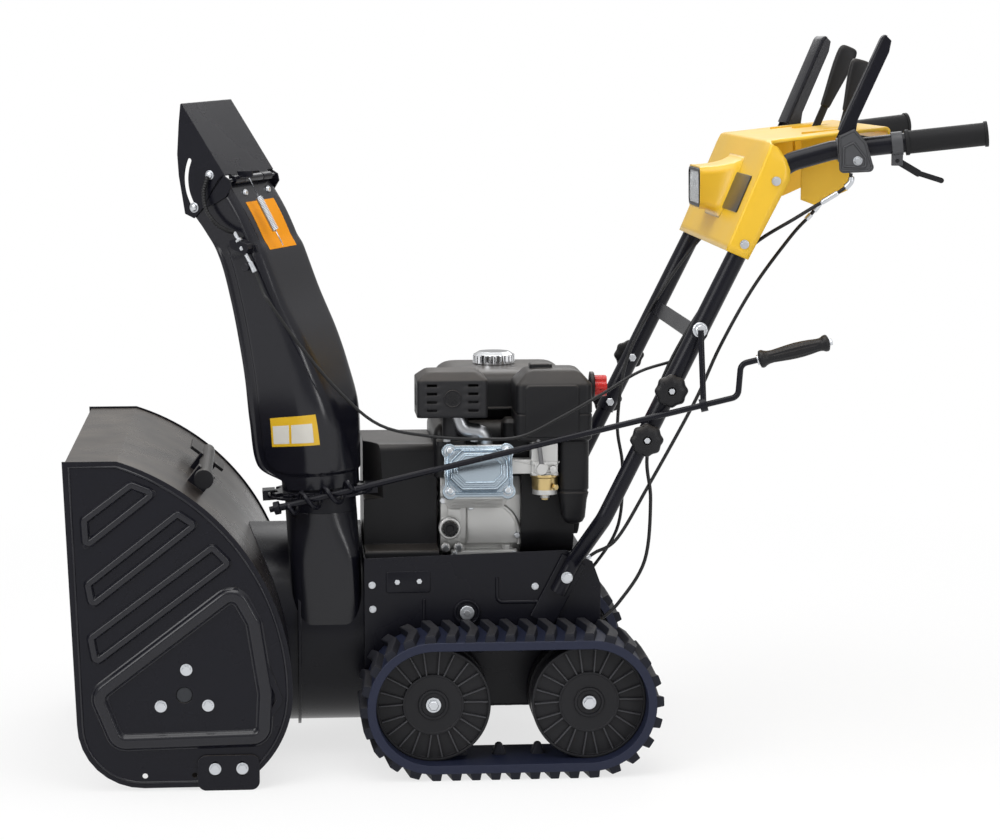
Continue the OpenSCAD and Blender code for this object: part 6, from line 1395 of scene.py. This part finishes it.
paddle_c, paddle_s = squared(np.linspace(0, 2 * math.pi, 40, endpoint=False), 0.6)


def lever_pin(at, half, radius, sides):
    """Short turned pin across the machine, its ends chamfered by half a millimetre."""
    cut, length = 0.0005, 2 * half
    profile = [(0, radius - cut), (cut, radius), (length - cut, radius), (length, radius - cut)]
    return turned(profile, at - (0, half, 0), ACROSS, sides)


for lever_name, marks in PADDLES.items():
    pivot, bend_at, top = np.array(marks)
    bar_way = np.cross(bend_at - pivot, ACROSS)
    bar = carried(bar_profile(0.013, 0.006, 0.0012), np.stack([pivot, bend_at]), bar_way, ACROSS)
    tall = np.linalg.norm(top - bend_at)
    rise_run = unit_rows(top - bend_at)
    paddle = (bend_at + rise_run * (PADDLE_SHARE * tall)[:, None, None]
              + (PADDLE_WIDE[:, None] * paddle_c)[..., None] * np.cross(rise_run, ACROSS)
              + (PADDLE_THICK[:, None] * paddle_s)[..., None] * ACROSS)
    lever_parts = skins(bar, paddle, lever_pin(pivot, 0.007, 0.011, 28), lever_pin(pivot, 0.0115, 0.004, 20))
    paddle_lever = piece(lever_name + "_paddle", lever_parts, black_plastic, lever_name, 40)
    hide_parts(lever_name)

# Console plate: a plain dark plate stuck on beside the lamp, with nothing on it. Satin grey film over
# thin sheet.
plate_film = coat("plate_film", (0.035, 0.034, 0.033), 0.34, relief=0.05, edge=0.0008, mottle=0.08, shine=0.4)
PLATE_MID = np.array([-0.150, 0.955])
plate_ring = bar_profile(0.142, 0.060, 0.004)


def on_panel(ring, lift):
    """A ring in y and z laid on the console's sloping front, lifted off it."""
    lean = np.array([-1.0, 0, PANEL_LEAN]) / math.hypot(1, PANEL_LEAN)
    return np.stack([panel_face(ring[:, 1]), ring[:, 0], ring[:, 1]], -1) + lean * lift


PLATE_STEPS = ((1, 0.0002), (1, 0.0021), (0.985, 0.0025))
plate_rows = [on_panel(PLATE_MID + plate_ring * share, lift) for share, lift in PLATE_STEPS]
piece("console_plate", skins(np.stack(plate_rows)), plate_film, "machine", 30)

# Valve cover beads: stepped eight-sided beads pressed into the cover, and a bright flange screw in each
# ear. The cover leans with the cylinder; zinc-plated sheet.
HEAD_LEAN = math.radians(19)
HEAD_PLACE = np.array([-76.0, 428.0])
HEAD_OUT = 196.0
EAR_OUT = 8.0
COVER_BEADS = ((104, 76, 14, EAR_OUT, 4.0, 2.2), (93, 65, 18, 23, 4.6, 1.8), (74, 46, 14, 27, 3.6, 1.5))
cover_zinc = coat("cover_zinc", (0.47, 0.55, 0.62), 0.24, metal=1.0, grain=1200, relief=0.05, edge=0.002)
wear(cover_zinc, "valve_cover")


def on_head(x, up, out):
    """Cylinder coordinates in millimetres (along x, up the head, out from its face) turned to the lean
    of the cylinder; metres."""
    reach = HEAD_OUT + out
    y = -math.cos(HEAD_LEAN) * reach + math.sin(HEAD_LEAN) * up
    z = HEAD_PLACE[1] + math.sin(HEAD_LEAN) * reach + math.cos(HEAD_LEAN) * up
    return np.stack(np.broadcast_arrays(HEAD_PLACE[0] + x, y, z), -1) / 1000


def eight_sided(w, h, c):
    """Rectangle with its corners cut off."""
    x, z = w / 2, h / 2
    return [(-x + c, -z), (x - c, -z), (x, -z + c), (x, z - c),
            (x - c, z), (-x + c, z), (-x, z - c), (-x, -z + c)]


cover_parts = []
for width, height, cut, out, crest, rise in COVER_BEADS:
    bead = pressed_ridge(round_loop(eight_sided(width, height, cut), 3.0), crest, rise, 0.7)
    cover_parts.append(skin(on_head(bead[..., 0], bead[..., 2], out + bead[..., 1]), True, False))
piece("cover_beads", cover_parts, cover_zinc, "machine", 60)
head_axis = on_head(0.0, 0.0, 1.0) - on_head(0.0, 0.0, 0.0)
ear_spots = [on_head(x, up, EAR_OUT) for x in (-48, 48) for up in (-34, 34)]
ear_screws = skins(*[domed_bolt(spot, head_axis, 0.0088, 0.0075) for spot in ear_spots])
piece("cover_screws", ear_screws, zinc, "machine", 35)

# Crankcase details: the cast rib that arches over the side cover, the raised cover itself, bosses with
# hexagon screws, and the black oil plug in its bright neck. Bare cast aluminium.
NEAR = (0, -1, 0)
CASE_FACE = -0.098
OIL_NECK = (-0.120, 0.386)
NECK_PROFILE = [(0, 0.019), (0.012, 0.019), (0.0135, 0.0175), (0.0135, 0.0145), (0.009, 0.0140)]
BOSS_PROFILE = [(0, 0.008), (0.010, 0.008), (0.011, 0.007)]
PLUG_ROWS = [(0.0, 0.9), (0.002, 1.0), (0.0085, 1.0), (0.010, 0.9), (0.0102, 0.55), (0.0075, 0.5)]
PLUG_SIDES = 72
CASE_BOLTS = [(-0.127, -0.118, 0.352), (-0.105, -0.118, 0.352), (-0.010, -0.118, 0.340),
              (-0.112, -0.118, 0.340), (-0.128, -0.108, 0.455), (-0.131, -0.108, 0.432),
              (-0.004, -0.104, 0.370), (-0.083, -0.103, 0.420)]
alloy = coat("alloy", (0.60, 0.60, 0.59), 0.48, metal=0.75, grain=650, relief=0.3, edge=0.002)
wear(alloy, "crankcase", "cylinder_block", "carburetor")
case_arch = np.array([(-0.091, 0.354), (-0.091, 0.424), (-0.060, 0.428), (-0.030, 0.420), (-0.012, 0.404),
                      (-0.001, 0.380), (0.000, 0.354)])
arch_rib = smooth_path(np.stack([case_arch[1:, 0], np.full(6, CASE_FACE - 0.002), case_arch[1:, 1]], -1), 8)
case_parts = skins(raised_panel(case_arch, CASE_FACE, 0.006, 0.006), swept(arch_rib, 0.0045, 12, (0, 1, 0.1)),
                   turned(NECK_PROFILE, (OIL_NECK[0], -0.112, OIL_NECK[1]), NEAR, 36),
                   pressed_box(-0.118, -0.004, -0.118, -0.100, 0.003,
                               [(0.334, 0), (0.345, 0), (0.347, 0.002)]),
                   turned(BOSS_PROFILE, (-0.127, -0.108, 0.352), NEAR, 20),
                   turned(BOSS_PROFILE, (-0.105, -0.108, 0.352), NEAR, 20))
piece("case_ribs", case_parts, alloy, "machine", 40)
case_bolts = skins(*[hexagon_nut(spot, NEAR, 0.0105, 0.0055) for spot in CASE_BOLTS])
piece("case_bolts", case_bolts, zinc, "machine", 25)
plug_a = np.linspace(0, 2 * math.pi, PLUG_SIDES, endpoint=False)
plug_r = 0.0125 + 0.0006 * np.cos(12 * plug_a)
oil_plug = np.stack([np.stack([OIL_NECK[0] + plug_r * k * np.cos(plug_a), np.full(PLUG_SIDES, -0.1205 - d),
                               OIL_NECK[1] + plug_r * k * np.sin(plug_a)], -1) for d, k in PLUG_ROWS])
piece("oil_plug", skins(oil_plug), black_plastic, "machine", 40)

# Carburettor: a die-cast body with a brass-coloured float bowl under it, a drain screw, the fuel hose
# from the tank and the choke and throttle links beside it.
BOWL = [(0, 0.0035), (0.0005, 0.0072), (0.006, 0.0082), (0.0065, 0.0055), (0.009, 0.0055), (0.010, 0.0150),
        (0.014, 0.0205), (0.018, 0.0217), (0.036, 0.0220), (0.0375, 0.0247), (0.0415, 0.0247),
        (0.0425, 0.0235)]
CARB_LEVELS = [(0.4835, 0), (0.488, 0), (0.489, 0.003), (0.500, 0.004), (0.5015, 0.0), (0.507, 0.0)]
CARB_BOSS = [(0, 0.012), (0.004, 0.012), (0.005, 0.009), (0.016, 0.009)]
HOSE_R = 0.0038
carb_zinc = coat("carb_zinc", (0.62, 0.47, 0.22), 0.32, metal=1.0, relief=0.1)
bowl_parts = skins(turned(BOWL, (0.038, -0.160, 0.4425), UP, 44),
                   hexagon_nut((0.052, -0.180, 0.464), (0.6, -0.8, 0), 0.010, 0.006),
                   hexagon_nut((0.038, -0.160, 0.4395), UP, 0.011, 0.005))
piece("float_bowl", bowl_parts, carb_zinc, "machine", 35)
carb_parts = skins(pressed_box(0.0125, 0.0595, -0.1805, -0.1375, 0.004, CARB_LEVELS),
                   turned(CARB_BOSS, (0.030, -0.1785, 0.496), NEAR, 28),
                   turned([(0, 0.0065), (0.007, 0.0065), (0.008, 0.005)], (0.050, -0.1785, 0.494), NEAR, 20),
                   rod_between((0.058, -0.166, 0.504), (0.092, -0.168, 0.507), 0.0016),
                   rod_between((0.082, -0.172, 0.5065), (0.082, -0.160, 0.5065), 0.005),
                   rod_between((-0.020, -0.172, 0.510), (0.014, -0.172, 0.502), 0.0014))
piece("carburettor_body", carb_parts, alloy, "machine", 35)
hose_grey = coat("hose_grey", (0.16, 0.16, 0.165), 0.42, relief=0.08, edge=0.0006, shine=0.35)
hose_line = smooth_path([(0.022, -0.150, 0.585), (0.023, -0.176, 0.562), (0.026, -0.186, 0.535),
                         (0.029, -0.187, 0.512), (0.031, -0.186, 0.498)], 8)
fuel_hose = piece("fuel_hose", skins(swept(hose_line, HOSE_R, 14, (0.9, 0.1, 0.2))), hose_grey, "machine")

# Exhaust elbow, cooling shroud and muffler outlet: a bright bent pipe from the head into the guard, a
# black moulded shroud behind it, and a punched grille over the outlet with a near-black disc behind it as
# painted shade in the outlet's hollow.
ELBOW_MARKS = [(-0.062, -0.150, 0.520), (-0.064, -0.158, 0.5545), (-0.100, -0.158, 0.560),
               (-0.112, -0.156, 0.592)]
GRILLE_AT = np.array([-0.119, GUARD_Y[0], 0.616])
GRILLE_RIM = [(-0.001, 0.0150), (0.0012, 0.0150), (0.002, 0.0142), (0.002, 0.0132), (0.0004, 0.0126)]
GRILLE_R, HOLE_STEP = 0.0108, 0.0046
HOLE_RIM = [(0.0003, 0.0021), (0.0011, 0.0020), (0.0011, 0.0014), (0.0003, 0.0013)]
elbow_parts = skins(swept(bent(ELBOW_MARKS, 0.016, 9), 0.0135, 28, (0.1, 1.0, 0.1)),
                    *[hexagon_nut((x, -0.172, 0.5415), UP, 0.012, 0.007) for x in (-0.128, -0.082)])
piece("exhaust_elbow", elbow_parts, bare_steel, "machine", 40)
shroud_levels = [(0.470, 0.0), (0.540, 0.0), (0.552, 0.003), (0.560, 0.010), (0.563, 0.020)]
shroud_parts = skins(pressed_box(-0.146, 0.086, -0.096, 0.118, 0.016, shroud_levels),
                     pressed_box(-0.030, 0.020, -0.128, -0.080, 0.010,
                                 [(0.500, 0), (0.566, 0), (0.572, 0.006)]))
piece("cooling_shroud", shroud_parts, black_plastic, "machine", 35)
# Near-black disc behind the grille: painted shade in the outlet's hollow.
outlet_painted_shade = coat("outlet_painted_shade", (0.0012, 0.0012, 0.0013), 0.8, relief=0.1, shine=0.05)
outlet_shade_disc = turned([(-0.001, 0.0130), (0.0003, 0.0130)], GRILLE_AT, NEAR, 40)
piece("muffler_outlet_shade", skins(outlet_shade_disc), outlet_painted_shade, "machine", 30)
hole_row, hole_col = np.mgrid[-2:3, -2:3]
hole_x = (hole_col + 0.5 * (hole_row % 2)).ravel() * HOLE_STEP
hole_z = hole_row.ravel() * HOLE_STEP * 0.87
inside = np.hypot(hole_x, hole_z) < GRILLE_R
grille_parts = skins(turned(GRILLE_RIM, GRILLE_AT, NEAR, 40))
grille_parts += skins(*[turned(HOLE_RIM, GRILLE_AT + (x, 0, z), NEAR, 10)
                        for x, z in zip(hole_x[inside], hole_z[inside])])
piece("muffler_grille", grille_parts, muffler_paint, "machine", 40)

# Chassis panels: short stiffening beads pressed out of the sheet, a bolted doubler plate, and a raised
# ring round the drive shaft's bearing. Folded steel with the frame's paint.
CHASSIS_FACE = 0.190
BEAD_R, BEAD_UP = 0.0036, (0, 1, 0.02)
SHAFT_X, SHAFT_Z = -0.096, 0.254
FOOT_FACE = 0.1936
BEARING_RING = [(-0.001, 0.0225), (0.0030, 0.0225), (0.0042, 0.0213), (0.0042, 0.0190), (0.0030, 0.0178),
                (0.0012, 0.0172), (0.0012, 0.0120)]
HUB_CAP = [(0, 0.0118), (0.0006, 0.0122), (0.0024, 0.0122), (0.003, 0.0115)]
chassis_parts, hub_parts = [], []
for side in (-1, 1):
    face = side * (CHASSIS_FACE - 0.0012)
    corner_bead = bent([(-0.045, face, 0.313), (-0.045, face, 0.2705), (0.029, face, 0.2705)], 0.010, 8)
    short_bead = np.array([(-0.168, face, z) for z in np.linspace(0.278, 0.232, 6)])
    doubler = raised_panel(rounded_window(-0.232, -0.157, 0.289, 0.326, 0.005), -CHASSIS_FACE, 0.0018, 0.0016)
    foot_line = np.array([(0.030, side * FOOT_FACE, 0.238), (0.084, side * FOOT_FACE, 0.342)])
    chassis_parts += skins(swept(corner_bead, BEAD_R, 12, BEAD_UP), swept(short_bead, BEAD_R, 12, BEAD_UP),
                           doubler * np.array([1, -side, 1]),
                           turned(BEARING_RING, (SHAFT_X, side * CHASSIS_FACE, SHAFT_Z), (0, side, 0), 44),
                           carried(bar_profile(0.044, 0.006, 0.0026), foot_line, (0.886, 0, -0.463), ACROSS))
    hub_parts += skins(turned(HUB_CAP, (SHAFT_X, side * 0.1930, SHAFT_Z), (0, side, 0), 36),
                       hexagon_nut((0.072, side * 0.2160, 0.316), (0, side, 0), 0.0135, 0.0062))
piece("chassis_pressings", chassis_parts, frame_paint, "machine", 45)
piece("chassis_hubs", hub_parts, zinc, "machine", 30)

# Crank eye: a zinc flange nut that holds the black eye bolt to the left handle tube, and a washer and a
# nut that keep the grip on the crank's end.
FLANGE_NUT = [(0, 0.0125), (0.002, 0.0125), (0.003, 0.0108), (0.003, 0.0085), (0.009, 0.0085),
              (0.010, 0.0070)]
piece("eye_flange", skins(turned(FLANGE_NUT, (0.283, -0.2690, 0.736), NEAR, 32)), zinc, "machine", 30)
crank_ends = skins(hexagon_nut(crank_hand + GRIP_TURN * 0.1182, GRIP_TURN, 0.0105, 0.0050),
                   turned([(0, 0.0085), (0.0022, 0.0085)], crank_hand - GRIP_TURN * 0.0028, GRIP_TURN, 24))
piece("crank_nuts", crank_ends, zinc, "crank", 30)
